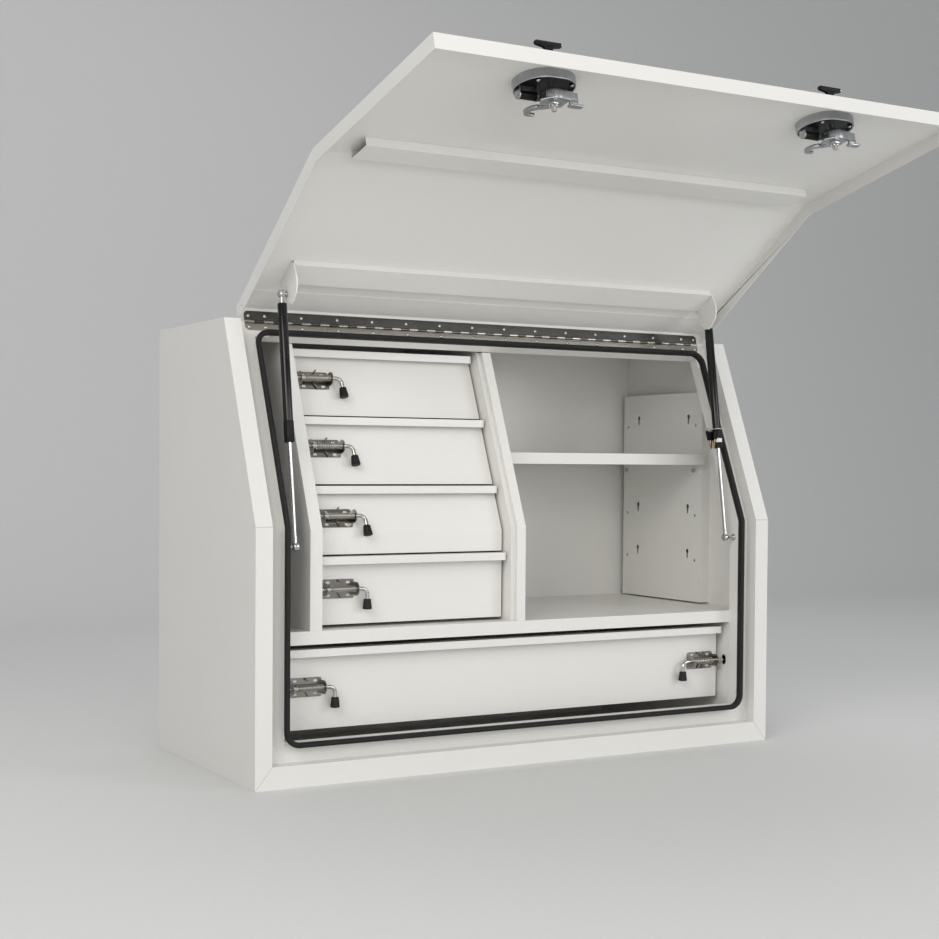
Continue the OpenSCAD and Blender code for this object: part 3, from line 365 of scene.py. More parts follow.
def sheetPiece(node, material):
    obj = finishPiece(node + "_sheet", cleanCopy(node), node, material)
    bevel = obj.modifiers.new("edges", "BEVEL")
    bevel.width = sheetLook["edge"]
    bevel.segments = sheetLook["segments"]
    bevel.limit_method = "ANGLE"
    bevel.angle_limit = math.radians(sheetLook["crease"])
    for face in obj.data.polygons:
        face.use_smooth = True
    normals = obj.modifiers.new("normals", "WEIGHTED_NORMAL")
    normals.mode = "FACE_AREA"
    normals.weight = sheetLook["faceWeight"]


sheetNodes = ["case_wrap", "left_end_panel", "right_end_panel", "front_frame", "middle_deck",
              "lower_bay_walls", "cabinet_left_wall", "cabinet_right_wall", "keyhole_panel",
              "shelf", "shelf_brackets", "lid_panel", "lid_middle_rail", "lid_hinge_rail",
              "strut_brackets", "drawer_1", "drawer_2", "drawer_3", "drawer_4", "drawer_5"]
for sheetNode in sheetNodes:
    sheetPiece(sheetNode, "seamed" if sheetNode == "front_frame" else "powder")

# CAD nodes that keep their shape
nodeFinish = dict(runner_rails="zinc", shelf_bolts="zinc", hinge_pin="stainless")
for nodeName, key in nodeFinish.items():
    slots = frame["nodes"][nodeName].data.materials
    slots.clear()
    slots.append(finish[key])


# Places and directions
def inMetres(points):
    return [tuple(value * mm for value in point) for point in points]


def shift(x, y, z):
    return Matrix.Translation((x, y, z))


def axes(x, y, z, at=(0, 0, 0)):  # matrix with the given axes, placed at a point
    turn = Matrix((Vector(x), Vector(y), Vector(z))).transposed().to_4x4()
    return Matrix.Translation(Vector(at)) @ turn


toMetres = Matrix.Scale(mm, 4)
alongX = axes((0, 1, 0), (0, 0, 1), (1, 0, 0))
alongY = axes((1, 0, 0), (0, 0, -1), (0, 1, 0))
flatXZ = axes((1, 0, 0), (0, 0, 1), (0, -1, 0))  # outline in X and Z, thick towards -Y


# Shape helpers: each adds to a pile, a bmesh that becomes one piece
def addRings(pile, rings, closed=False, material=0):
    made = [[pile.verts.new(p) for p in ring] for ring in rings]
    pairs = list(zip(made, made[1:] + made[:1])) if closed else list(zip(made, made[1:]))
    count = len(made[0])
    for a, b in pairs:
        for i in range(count):
            j = (i + 1) % count
            pile.faces.new((a[i], a[j], b[j], b[i])).material_index = material
    if not closed:
        pile.faces.new(list(reversed(made[0]))).material_index = material
        pile.faces.new(made[-1]).material_index = material


def sweepTube(pile, points, radius, sides=16, closed=False, place=Matrix(), material=0):
    points = [Vector(p) for p in points]
    count = len(points)
    rings = []
    side = None
    for i, p in enumerate(points):
        if closed:
            ahead = points[(i + 1) % count] - points[i - 1]
        else:
            ahead = points[min(i + 1, count - 1)] - points[max(i - 1, 0)]
        ahead.normalize()
        if side is None:
            side = ahead.orthogonal().normalized()
        side = (side - ahead * side.dot(ahead)).normalized()
        up = ahead.cross(side)
        r = radius(i / (count - 1)) if callable(radius) else radius
        rings.append([place @ (p + r * (side * math.cos(a) + up * math.sin(a)))
                      for a in (2 * math.pi * k / sides for k in range(sides))])
    addRings(pile, rings, closed, material)


def lathe(pile, profile, sides=32, place=Matrix(), material=0):
    # profile is a list of (radius, height); a first or last radius of 0 closes the end
    rings = []
    for r, h in profile:
        rings.append([place @ Vector((max(r, 1e-6) * math.cos(a), max(r, 1e-6) * math.sin(a), h))
                      for a in (2 * math.pi * k / sides for k in range(sides))])
    addRings(pile, rings, material=material)


def flatPart(pile, outlines, thick, place=Matrix(), edge=0.0, material=0):
    # outlines in X and Y, the first outside and the rest holes; the part is thick in Z from 0
    curve = bpy.data.curves.new("outline", "CURVE")
    curve.dimensions = "2D"
    curve.fill_mode = "BOTH"
    curve.extrude = thick / 2 - edge
    curve.bevel_depth = edge
    curve.bevel_resolution = 1
    curve.offset = -edge
    for outline in outlines:
        spline = curve.splines.new("POLY")
        spline.points.add(len(outline) - 1)
        for point, (x, y) in zip(spline.points, outline):
            point.co = (x, y, 0, 1)
        spline.use_cyclic_u = True
    holder = bpy.data.objects.new("outline", curve)
    bpy.context.collection.objects.link(holder)
    bpy.context.view_layer.update()
    made = bpy.data.meshes.new_from_object(
        holder.evaluated_get(bpy.context.evaluated_depsgraph_get()))
    made.transform(place @ shift(0, 0, thick / 2))
    first = len(pile.faces)
    pile.from_mesh(made)
    pile.faces.ensure_lookup_table()
    for index in range(first, len(pile.faces)):
        pile.faces[index].material_index = material
    bpy.data.objects.remove(holder)
    bpy.data.meshes.remove(made)


def arc(cx, cy, r, start, end, steps):
    return [(cx + r * math.cos(math.radians(start + (end - start) * i / steps)),
             cy + r * math.sin(math.radians(start + (end - start) * i / steps)))
            for i in range(steps + 1)]


def ovalLine(w, h, steps=16):
    r = h / 2
    return arc(w / 2 - r, 0, r, -90, 90, steps) + arc(r - w / 2, 0, r, 90, 270, steps)


def circleLine(x, y, r, steps=20):
    return arc(x, y, r, 0, 360 - 360 / steps, steps - 1)


def roundedLine(x1, y1, x2, y2, r, steps=4):
    return (arc(x2 - r, y1 + r, r, -90, 0, steps) + arc(x2 - r, y2 - r, r, 0, 90, steps)
            + arc(x1 + r, y2 - r, r, 90, 180, steps) + arc(x1 + r, y1 + r, r, 180, 270, steps))


def finishPile(name, pile, node, materials, crease=35, stretch=None):
    bmesh.ops.recalc_face_normals(pile, faces=pile.faces)
    obj = finishPiece(name, pile, node, materials[0], stretch)
    for key in materials[1:]:
        obj.data.materials.append(finish[key])
    for face in obj.data.polygons:
        face.use_smooth = True
    obj.data.set_sharp_from_angle(angle=math.radians(crease))


# Door seal: round bulb on a gripping foot, swept round the opening
print("stage: seal")
seal = dict(bulbWidth=10.5, bulbDepth=12, shift=2, gap=1.5, corner=24, foot=2.8, leg=1.3,
            grip=0.25, shoulder=2.5, lip=0.6, chamfer=0.5, skin=0.4, flange=12, bendRun=12,
            cornerSteps=10, bulbSteps=18)


def sealSection(s):  # outline as offset across the flange and depth behind the front
    frontDepth = s["gap"] - lidSizes["proud"] + case["sheet"]
    halfBulb = s["bulbWidth"] / 2
    mid, low = frontDepth + s["bulbDepth"] / 2, frontDepth + s["bulbDepth"]
    end, tip = low + s["foot"], s["flange"] - s["skin"]
    half, inner = s["leg"] + case["sheet"] / 2, case["sheet"] / 2 + s["grip"]
    heel = end - s["skin"]
    rim = heel - s["chamfer"]
    return ([(s["shift"] + halfBulb * x, mid + s["bulbDepth"] / 2 * y)
             for x, y in arc(0, 0, 1, 0, -180, s["bulbSteps"])]
            + [(s["shift"] - halfBulb, mid + s["shoulder"]), (-half, low), (-half, rim),
               (-half + s["chamfer"], heel), (-inner, heel), (-inner, tip), (inner, tip),
               (inner, heel), (half - s["chamfer"], heel), (half, rim), (half + s["lip"], low),
               (s["shift"] + halfBulb, mid + s["shoulder"])])


def onFront(w, d):  # point at run w up the front and depth d behind it
    bend, run = case["bendHeight"], seal["bendRun"]
    if w <= bend:
        return front + d, w + (bendZ(d) - bend) * max(0, 1 - (bend - w) / run)
    s = w - bend
    return slopePoint(s - max(0, 1 - s / run) * d * math.tan(tilt / 2), d)


def buildSeal(s):
    topJamb = (case["height"] - case["bendHeight"]) / math.cos(tilt) - case["topFace"]
    midX = jambX + case["sheet"] / 2
    r = s["corner"]
    low = jambZ - case["sheet"] / 2 + r
    high = case["bendHeight"] + topJamb + case["sheet"] / 2 - r
    stations = []
    upright = {-90: 1, 90: -1}
    for cx, cw, start in ((midX - r, low, -90), (midX - r, high, 0), (r - midX, high, 90),
                          (r - midX, low, 180)):
        for step in range(s["cornerSteps"] + 1):
            a = math.radians(start + 90 * step / s["cornerSteps"])
            stations.append((cx + r * math.cos(a), cw + r * math.sin(a), math.cos(a), math.sin(a)))
        if start in upright:  # the side that comes next passes the bend
            up = upright[start]
            stations += [(midX * up, case["bendHeight"] + up * k * s["bendRun"], up, 0)
                         for k in (-1, -0.5, 0, 0.5, 1)]
    rings = []
    for x, w, outX, outW in stations:
        ring = []
        for u, d in sealSection(s):
            y, z = onFront(w + outW * u, d)
            ring.append(Vector((x + outX * u, y, z)) * mm)
        rings.append(ring)
    pile = bmesh.new()
    addRings(pile, rings, closed=True)
    finishPile("door_seal_bulb", pile, "door_seal", ["rubber"], 50)


buildSeal(seal)

# Spring bolts: bracket, cranked rod with a rubber end, coil spring
print("stage: bolts")
bolt = dict(length=68, height=37, rod=8, off=15, ear=1.6, earRound=13.4, earAt=13, earBase=25,
            corner=4, edge=0.0003, slot=(5, 9), slotAt=(13, 12.5), plane=84.5, above=3,
            bend=12, drop=24, grip=90, washer=13, capTop=7.0, capLow=9.2, capLength=20,
            wire=1.5, curls=12, perCurl=20, coilFrom=1.3, coilGap=0.6, endGap=0.1, crowd=0.03)
tabs = dict(strip=(4.4, 18, 1.2), stripAt=(36, -3.5, -9.5), stripTurn=-32, hookAt=(34, -9, 13),
            thick=1.4, stem=(3.4, 10.4), edge=0.0002)


def boltPlace(number):
    if number < 5:
        low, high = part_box("drawer_%d" % number)
        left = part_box("bolt_bracket_%d" % number)[0][0]
        z = (low[2] + high[2]) / 2 + bolt["above"] * mm
        y = frontY(bolt["plane"], z / mm) * mm
        turn = tilt if z / mm > bendZ(bolt["plane"]) else 0.0
        return shift(left, y, z) @ Matrix.Rotation(-turn, 4, "X")
    low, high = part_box("bolt_brackets_5")
    z = (low[2] + high[2]) / 2
    if number == 5:
        return shift(low[0], high[1], z)
    return shift(high[0], high[1], z) @ Matrix.Scale(-1, 4, (1, 0, 0))


def earLine(b):  # outline of an ear: X out of the face, Y up
    half = b["earBase"] / 2
    return [(0, half), (0, -half)] + arc(b["earAt"], 0, b["earRound"], -108, 108, 20)


def buildBracket(pile, b, place):
    h = b["height"] / 2
    sx, sy = b["slotAt"]
    hole = ovalLine(b["slot"][1], b["slot"][0], 6)
    spots = [(x, y) for y in (-sy, sy) for x in (sx, b["length"] - sx)]
    lines = [roundedLine(0, -h, b["length"], h, b["corner"])]
    lines += [[(x + dx, y + dy) for x, y in hole] for dx, dy in spots]
    flatPart(pile, [inMetres(line) for line in lines], b["ear"] * mm, place @ flatXZ, b["edge"])
    for x in (0, b["length"] - b["ear"]):
        at = place @ axes((0, -1, 0), (0, 0, 1), (1, 0, 0), (x * mm, 0, 0))
        flatPart(pile, [inMetres(earLine(b))], b["ear"] * mm, at, b["edge"])


def buildTabs(pile, t, place):  # a slanted tab below the spring and a hooked one above it
    wide, high, thick = t["strip"]
    strip = [(-wide / 2, -high / 2), (wide / 2, -high / 2), (wide / 2, high / 2),
             (-wide / 2, high / 2)]
    lower = (place @ shift(*(value * mm for value in t["stripAt"]))
             @ Matrix.Rotation(math.radians(t["stripTurn"]), 4, "Y") @ flatXZ)
    flatPart(pile, [inMetres(strip)], thick * mm, lower, t["edge"])
    hook = [(0, 0), (3.4, 0), (4.4, 3), (7.2, 5.4), (5.6, 7.4), (1.8, 5), (0, 2.6)]
    x, y, z = (value * mm for value in t["hookAt"])
    flatPart(pile, [inMetres(hook)], t["thick"] * mm, place @ shift(x, y, z) @ flatXZ, t["edge"])
    wide, long = t["stem"]
    stem = place @ axes((1, 0, 0), (0, -1, 0), (0, 0, 1), (x, 0, z))
    flatPart(pile, [inMetres([(0, 0), (wide, 0), (wide, long), (0, long)])], t["thick"] * mm,
             stem, t["edge"])


def buildRod(pile, b, place, tip):
    at = place @ shift(0, -b["off"] * mm, 0)
    r, g = b["bend"], b["grip"]
    path = [(tip, 0, 0), (tip + 1.2, 0, 0)]
    path += [(tip + (g - r - tip) * k / 6, 0, 0) for k in (1, 3, 5)]
    path += [(g - r + r * math.sin(a), 0, -r + r * math.cos(a))
             for a in (math.radians(9 * k) for k in range(11))] + [(g, 0, -b["drop"])]
    sweepTube(pile, [Vector(p) * mm for p in path], b["rod"] / 2 * mm, 20, place=at)
    across = at @ axes((0, 1, 0), (0, 0, 1), (1, 0, 0), (b["washer"] * mm, 0, 0))
    washer = [(4, 0), (6.1, 0), (6.5, 0.3), (6.5, 0.9), (6.1, 1.2), (4, 1.2)]
    lathe(pile, inMetres(washer), 24, across)
    pin = [(0.9, 0), (1.25, 0.4), (1.25, 12.8), (0.9, 13.2)]
    lathe(pile, inMetres(pin), 14, at @ shift((b["washer"] - 1.7) * mm, 0, -6.6 * mm))
    low, top, length = b["capLow"], b["capTop"], b["capLength"]
    cap = [(0, -0.5), (low * 0.6, -0.3), (low - 0.8, 0.3), (low, 1.3), (low - 0.15, 2.6),
           (top + 0.2, length - 1.6), (top - 0.3, length - 0.5), (top - 1.2, length), (4.2, length)]
    lathe(pile, inMetres(cap), 28, at @ shift(g * mm, 0, -(b["drop"] - 4 + length) * mm), 1)


def buildSpring(pile, b, place):
    at = place @ shift(0, -b["off"] * mm, 0)
    r = b["rod"] / 2 + b["wire"] / 2 + b["coilGap"]
    x1 = b["washer"] + b["coilFrom"] + b["wire"] / 2
    x2 = b["length"] - b["ear"] - b["endGap"] - b["wire"] / 2
    path = []
    for i in range(b["curls"] * b["perCurl"] + 1):
        t = i / b["perCurl"]
        u = t / b["curls"]
        ease = u - b["crowd"] * math.sin(2 * math.pi * u)  # closer coils at both ends
        path.append(Vector((x1 + (x2 - x1) * ease, r * math.cos(2 * math.pi * t),
                            r * math.sin(2 * math.pi * t))) * mm)
    sweepTube(pile, path, b["wire"] / 2 * mm, 8, place=at)


def boltTip(number):
    name = {5: "bolt_rod_5_left", 6: "bolt_rod_5_right"}.get(number, "bolt_rod_%d" % number)
    low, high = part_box(name)
    origin = boltPlace(number).translation[0]
    return name, ((low[0] - origin) if number < 6 else (origin - high[0])) / mm


brackets5 = bmesh.new()
for number in range(1, 7):
    place = boltPlace(number)
    rodName, tipX = boltTip(number)
    springName = rodName.replace("rod", "spring")
    pile = bmesh.new() if number < 5 else brackets5
    buildBracket(pile, bolt, place)
    buildTabs(pile, tabs, place)
    if number < 5:
        node = "bolt_bracket_%d" % number
        finishPile(node + "_plate", pile, node, ["polished"])
    pile = bmesh.new()
    buildRod(pile, bolt, place, tipX)
    finishPile(rodName + "_crank", pile, rodName, ["zinc", "rubber"])
    pile = bmesh.new()
    buildSpring(pile, bolt, place)
    ends = [place @ Vector((x * mm, -bolt["off"] * mm, 0))
            for x in (bolt["washer"] + bolt["coilFrom"], bolt["length"] - bolt["ear"])]
    finishPile(springName + "_coil", pile, springName, ["zinc"], 60,
               (bodyOf[rodName], bodyOf[springName], *ends))
# the bolt brackets take the darker metal copy: painted dark reflection and shade
finishPile("bolt_brackets_5_plates", brackets5, "bolt_brackets_5", ["polished"])

# Hinge: leaves with rounded free corners, rolled knuckles and domed screws
print("stage: hinge")
hinge = dict(half=547, pinY=-73.518, pinZ=867, leaf=1.4, edge=0.25, webEdge=0.1, clear=2.822,
             knuckle=5.6, bore=1.6, roll=0.35, count=55, gap=0.35, corner=8, endScrew=538.6,
             pitch=77.6, screwHead=7)
caseLeaf = dict(first=0, wide=17, row=10, low=hinge["knuckle"] / 2 - hinge["leaf"])
lidLeaf = dict(first=1, wide=22, row=12, low=1.0)
pinSpot = shift(0, hinge["pinY"], hinge["pinZ"])
opened = (toMetres @ pinSpot @ Matrix.Rotation(math.radians(-lidSizes["openAngle"]), 4, "X")
          @ pinSpot.inverted())  # from the closed lid in mm to the open lid in metres


def screwHead(pile, r, place, material=0):  # domed head with a round recess, out along Z
    lathe(pile, [(r, -0.2), (r, 0.4), (r * 0.93, 0.9), (r * 0.7, 1.5), (r * 0.4, 1.85),
                 (r * 0.3, 1.2), (0, 1.0)], 20, place, material)


def buildLeaf(name, h, leaf, node, metal, place):
    pile = bmesh.new()
    c, wide, clear = h["corner"], leaf["wide"], h["clear"]
    outline = ([(h["half"], -clear), (-h["half"], -clear)]
               + arc(-h["half"] + c, -wide + c, c, 180, 270, 6)
               + arc(h["half"] - c, -wide + c, c, 270, 360, 6))
    sheet = place @ shift(0, 0, leaf["low"])
    flatPart(pile, [outline], h["leaf"], sheet, h["edge"])
    step = 2 * h["half"] / h["count"]
    r, bore, roll = h["knuckle"] / 2, h["bore"], h["roll"]
    for i in range(leaf["first"], h["count"], 2):
        x1, x2 = -h["half"] + i * step, -h["half"] + (i + 1) * step - h["gap"]
        long = x2 - x1
        lathe(pile, [(bore, 0), (r - roll, 0), (r, roll), (r, long - roll), (r - roll, long),
                     (bore, long)], 20, place @ shift(x1, 0, 0) @ alongX)
        web = [(x1, -clear - 0.8), (x2, -clear - 0.8), (x2, -0.6), (x1, -0.6)]
        flatPart(pile, [web], h["leaf"], sheet, h["webEdge"])
    finishPile(name, pile, node, [metal], 40)
    screws = bmesh.new()
    for x in [(k - 0.5) * h["pitch"] for k in range(-6, 8)] + [-h["endScrew"], h["endScrew"]]:
        at = place @ shift(x, -leaf["row"], leaf["low"]) @ Matrix.Rotation(math.pi, 4, "X")
        screwHead(screws, h["screwHead"] / 2, at)
    finishPile(name + "_screws", screws, node.replace("leaf", "screws"), ["zinc"], 40)


slopeAxes = axes((1, 0, 0), (0, math.sin(tilt), math.cos(tilt)),
                 (0, math.cos(tilt), -math.sin(tilt)), (0, hinge["pinY"], hinge["pinZ"]))
buildLeaf("case_leaf_plate", hinge, caseLeaf, "hinge_case_leaf", "stainless", toMetres @ slopeAxes)
# the lid leaf takes the darker stainless copy: painted shade
buildLeaf("lid_leaf_plate", hinge, lidLeaf, "hinge_lid_leaf", "lidStainlessPaintedShade", opened @ pinSpot)

# Gas struts: gloss tube with a collar, chrome rod, ball ends and studs
print("stage: struts")
strut = dict(x=508, lowY=-226, lowZ=442, lean=8.07236, length=476.8, tubeLow=194.8, tube=18,
             rod=8, ball=10, neckFrom=5, neckTo=18, rodFrom=12, rodEnd=328.25, tubeLength=264,
             bore=4.3, collar=40, collarWall=0.8, jamb=531, bracket=497, bracketGap=0.3,
             barrel=15, sticker=(12, 20.5, -58, 36))


def strutPlace(s, side):
    return (toMetres @ shift(side * s["x"], s["lowY"], s["lowZ"])
            @ Matrix.Rotation(math.radians(-s["lean"]), 4, "X"))


def ballEnd(pile, s, place, outSign, neckFrom, neckTo):
    # a round socket along X with a rolled rim, and a turned neck along Z
    r = s["barrel"] / 2
    sideways = place @ Matrix.Scale(outSign, 4, (1, 0, 0)) @ alongX
    lathe(pile, [(0, -7), (r * 0.55, -7), (r * 0.86, -6.2), (r, -4.2), (r, 2.4), (r * 0.93, 3.8),
                 (r * 0.84, 4.8), (s["ball"] / 2 + 0.6, 5), (s["ball"] / 2 + 0.4, 1)], 28, sideways)
    ring = 0.8 if neckTo > neckFrom else -0.8
    lathe(pile, [(3.2, neckFrom), (4.4, neckFrom + 2 * ring), (4.4, neckTo - 5 * ring),
                 (5.0, neckTo - 4 * ring), (5.0, neckTo)], 24, place)


def buildStrut(s, side, word):
    place = strutPlace(s, side)
    tubeName, rodName, endName = (word + "_strut_" + k for k in ("tube", "rod", "end"))
    r, low = s["tube"] / 2, s["tubeLow"]
    top = low + s["tubeLength"]
    pile = bmesh.new()
    collarTop = low + s["collar"]
    lathe(pile, [(s["bore"], collarTop - 1), (r, collarTop - 1), (r, top - 2.2),
                 (r - 0.8, top - 0.7), (r - 2.4, top), (0, top)], 36, place)
    c = r + s["collarWall"]
    lathe(pile, [(s["bore"], low + 0.4), (c - 1.6, low), (c - 0.4, low + 0.5), (c, low + 1.6),
                 (c, low + 6), (c - 0.45, low + 6.5), (c - 0.45, low + 7.1), (c, low + 7.6),
                 (c, collarTop - 1), (c - 0.6, collarTop), (r, collarTop + 0.1)], 36, place, 1)
    if side > 0:  # blank sticker on the collar
        h1, h2, a1, a2 = s["sticker"]
        corners = [(c + 0.02, h1), (c + 0.02, h2), (c + 0.14, h2), (c + 0.14, h1)]
        turns = [math.radians(a1 + (a2 - a1) * k / 10) for k in range(11)]
        addRings(pile, [[place @ Vector((q * math.sin(a), -q * math.cos(a), low + h))
                         for q, h in corners] for a in turns], material=2)
    finishPile(tubeName + "_body", pile, tubeName, ["glossBlack", "plastic", "label"], 30)
    pile = bmesh.new()
    lathe(pile, [(0, s["rodFrom"]), (s["rod"] / 2, s["rodFrom"]), (s["rod"] / 2, s["rodEnd"])],
          28, place)
    ballEnd(pile, s, place, side, s["neckFrom"], s["neckTo"])
    finishPile(rodName + "_bright", pile, rodName, ["chrome"], 30)
    pile = bmesh.new()
    upper = place @ shift(0, 0, s["length"])
    ballEnd(pile, s, upper, -side, -s["neckFrom"], -s["neckTo"])
    reach = s["x"] - s["bracket"] - s["bracketGap"]
    stud = upper @ Matrix.Scale(-side, 4, (1, 0, 0)) @ alongX
    lathe(pile, [(3, 0), (3, reach - 2.6), (5.9, reach - 2.4), (6.5, reach - 1.9),
                 (6.5, reach - 0.5), (6.1, reach), (0, reach)], 28, stud)
    finishPile(endName + "_bright", pile, endName, ["chrome"], 30)


def buildWallStuds(s):
    pile = bmesh.new()
    for side in (-1, 1):
        at = (toMetres @ shift(side * s["x"], s["lowY"], s["lowZ"])
              @ Matrix.Scale(side, 4, (1, 0, 0)) @ alongX)
        b, reach = s["ball"] / 2, s["jamb"] - s["x"]
        lathe(pile, [(0, -b)] + [(b * math.cos(a), b * math.sin(a)) for a in
                                 (math.radians(-75 + 15 * k) for k in range(9))]
              + [(3, 4.2), (3, reach - 4.5), (5.2, reach - 4.5), (5.2, reach - 2.2),
                 (6.6, reach - 2), (7, reach - 1.5), (7, reach - 0.2), (3, reach)], 28, at)
    finishPile("strut_wall_studs_bright", pile, "strut_wall_studs", ["chrome"], 30)


for word, side in (("left", -1), ("right", 1)):
    buildStrut(strut, side, word)
buildWallStuds(strut)

# Keys: a clear tie round the right tube, a wire ring and three keys
print("stage: keys")
keySet = dict(height=41.3, tie=10.1, tieWire=0.7, ring=8, ringAt=(-14, 4), wire=0.6, steps=40,
              yaw=29.2, head=(12, 19, 4.6), blade=(5.2, 19, 1.3), cuts=4, pitch=2.8, cutDeep=1.2,
              drop=5, keys=((-21, 0, 62, -7, 2), (-12.5, 5, 40, 4, 3), (-5, 12.5, 55, 8, 2)))


def buildKeys(k):
    place = (strutPlace(strut, 1) @ shift(0, 0, strut["tubeLow"] + k["height"])
             @ Matrix.Rotation(math.radians(-k["yaw"]), 4, "Z"))  # X right, -Y near
    pile = bmesh.new()
    circle = [2 * math.pi * i / k["steps"] for i in range(k["steps"])]
    sweepTube(pile, [(k["tie"] * math.cos(a), k["tie"] * math.sin(a), 0) for a in circle],
              k["tieWire"], 8, closed=True, place=place)
    rx, ry = k["ringAt"]
    sweepTube(pile, [(rx + k["ring"] * math.cos(a), -ry + 0.75 * k["ring"] * math.sin(a),
                      -1.5 - 0.5 * k["ring"] * math.sin(a + 2.6)) for a in circle],
              k["wire"], 8, closed=True, place=place, material=3)
    wide, long, thick = k["head"]
    for right, near, turn, lean, metal in k["keys"]:
        at = (place @ shift(right, -near, -k["drop"])
              @ Matrix.Rotation(math.radians(lean), 4, "Y")
              @ Matrix.Rotation(math.radians(turn), 4, "Z"))
        head = roundedLine(-wide / 2, -long, wide / 2, 3, 4.5, 5)
        flatPart(pile, [head, circleLine(0, -0.5, 1.8, 14)], thick,
                 at @ shift(0, thick / 2, 0) @ flatXZ, 0.9, 1)
        across, tip, sheet = k["blade"]
        half = across / 2
        teeth = [(half, -long + 1), (half, -long - 4)]
        for i in range(k["cuts"]):
            z = -long - 4 - k["pitch"] * i
            deep = half - k["cutDeep"]
            teeth += [(deep, z - 0.7), (deep, z - 1.6), (half, z - 2.3)]
        teeth += [(0.4, -long - tip), (-half, -long - tip + 2), (-half, -long + 1)]
        flatPart(pile, [teeth], sheet, at @ shift(0, sheet / 2, 0) @ flatXZ, 0.2, metal)
    finishPile("key_set", pile, "keys", ["label", "plastic", "brass", "zinc"], 30)


buildKeys(keySet)

# Latches: dish and T handle outside, clamp ring, roller, stud and cam inside
print("stage: latches")
latch = dict(x=301, z=125.4, wide=107, high=88, side=6, rise=11, ring=16, floor=10, stud=9,
             studEnd=59.5, threadPitch=1.1, threadDeep=0.6, rollerY=26, rollerZ=23, roller=15,
             pinPast=0.8, cheeks=((-51.5, -49), (-17, -14.5)), cheekRound=8,
             bosses=((-30, -9), (36.5, -8)), bossHead=3.6,
             bossTop=13.8, postsAt=((-13, -9.5), (9.5, 13)), nutRound=8.5, nutBore=4.6, nutThick=5,
             nuts=((22, 0), (43.4, 4)), camY=43, armAt=3, armRound=20, armWide=3.6, armDeep=16,
             serrations=5, hubFrom=28, lugAt=(29.5, 3), leverY=48.5, pivotY=5, pivotZ=-14,
             reach=54, barHalf=22, gripThick=7.4, gripRound=7, fillet=(13.4, 41, 7),
             barEnd=4.2, steps=20)


def ovalLoop(b, inset, depth, place):
    return [place @ Vector((x, depth, z))
            for x, z in ovalLine(b["wide"] - 2 * inset, b["high"] - 2 * inset, b["steps"])]


def buildClamp(pile, b, place):
    dish = place @ shift(-b["side"], 0, b["rise"])
    base, top = case["sheet"], case["sheet"] + b["ring"]
    section = [(0, base), (0, top - 1.8), (0.4, top - 0.6), (1.2, top), (2.0, top - 0.1),
               (2.5, top - 0.8), (2.5, base)]
    addRings(pile, [ovalLoop(b, i, d, dish) for i, d in section], closed=True)
    r = b["cheekRound"]
    for x1, x2 in b["cheeks"]:
        out = ([(b["floor"] + 1.5, b["rollerZ"] - r), (b["rollerY"], b["rollerZ"] - r)]
               + arc(b["rollerY"], b["rollerZ"], r, -80, 80, 10)
               + [(b["rollerY"], b["rollerZ"] + r), (b["floor"] + 1.5, b["rollerZ"] + r)])
        flatPart(pile, [out, circleLine(b["rollerY"], b["rollerZ"], 2, 14)], x2 - x1,
                 place @ shift(x1, 0, 0) @ alongX, 0.35)
    top = b["bossTop"]
    for x, z in b["bosses"]:
        lathe(pile, [(5.2, b["floor"] + 1.5), (5.2, top - 0.6), (4.6, top), (0, top)], 20,
              place @ shift(x, 0, z) @ alongY, 1)
        screwHead(pile, b["bossHead"], place @ shift(x, top, z) @ alongY, 2)


def buildDish(pile, b, place):
    dish = place @ shift(-b["side"], 0, b["rise"])
    loops = [(9.2, 10), (7.4, 9.2), (6.7, 7.6), (6.3, -0.8), (5.4, -1.5), (0.7, -1.5), (0.1, -1.1),
             (0, -0.6), (0, 0), (4.8, 0), (4.8, 10.6), (5.6, 11.5)]
    addRings(pile, [ovalLoop(b, i, d, dish) for i, d in loops])
    z = b["pivotZ"]
    for x1, x2 in b["postsAt"]:
        post = roundedLine(0.5, z - 4.5, b["floor"] + 0.5, z + 4.5, 2, 3)
        flatPart(pile, [post], x2 - x1, place @ shift(x1 - b["side"], 0, 0) @ alongX, 0.3)


def buildRoller(pile, b, place):  # between the cheeks, on a pad and a pin
    (outLeft, inLeft), (inRight, outRight) = b["cheeks"]
    y, z, pad = b["rollerY"], b["rollerZ"], b["cheekRound"]
    flatPart(pile, [roundedLine(inLeft + 0.5, z - pad, inRight - 0.5, z + pad, 2, 3)], 2.5,
             place @ shift(0, b["floor"] + 3.5, 0) @ flatXZ, 0.3)
    r, long = b["roller"] / 2, inRight - inLeft
    lathe(pile, [(2.2, 0), (r - 1.2, 0), (r, 1), (r, 2.6), (r - 0.5, 3), (r - 0.5, long - 3),
                 (r, long - 2.6), (r, long - 1), (r - 1.2, long), (2.2, long)], 28,
          place @ shift(inLeft, y, z) @ alongX)
    length = outRight - outLeft + 2 * b["pinPast"]
    lathe(pile, [(0, 0), (1.9, 0.3), (1.9, length - 0.3), (0, length)], 16,
          place @ shift(outLeft - b["pinPast"], y, z) @ alongX, 1)


def buildStud(pile, b, place):  # threaded from the cam to its end
    r, y = b["stud"] / 2, b["camY"]
    thread = [(0, b["floor"] + 1), (r, b["floor"] + 1), (r, y)]
    while y < b["studEnd"] - 1.5:
        thread += [(r - b["threadDeep"], y + b["threadPitch"] / 2), (r, y + b["threadPitch"])]
        y += b["threadPitch"]
    thread += [(r - 1, b["studEnd"]), (0, b["studEnd"])]
    lathe(pile, thread, 20, place @ alongY, 1)


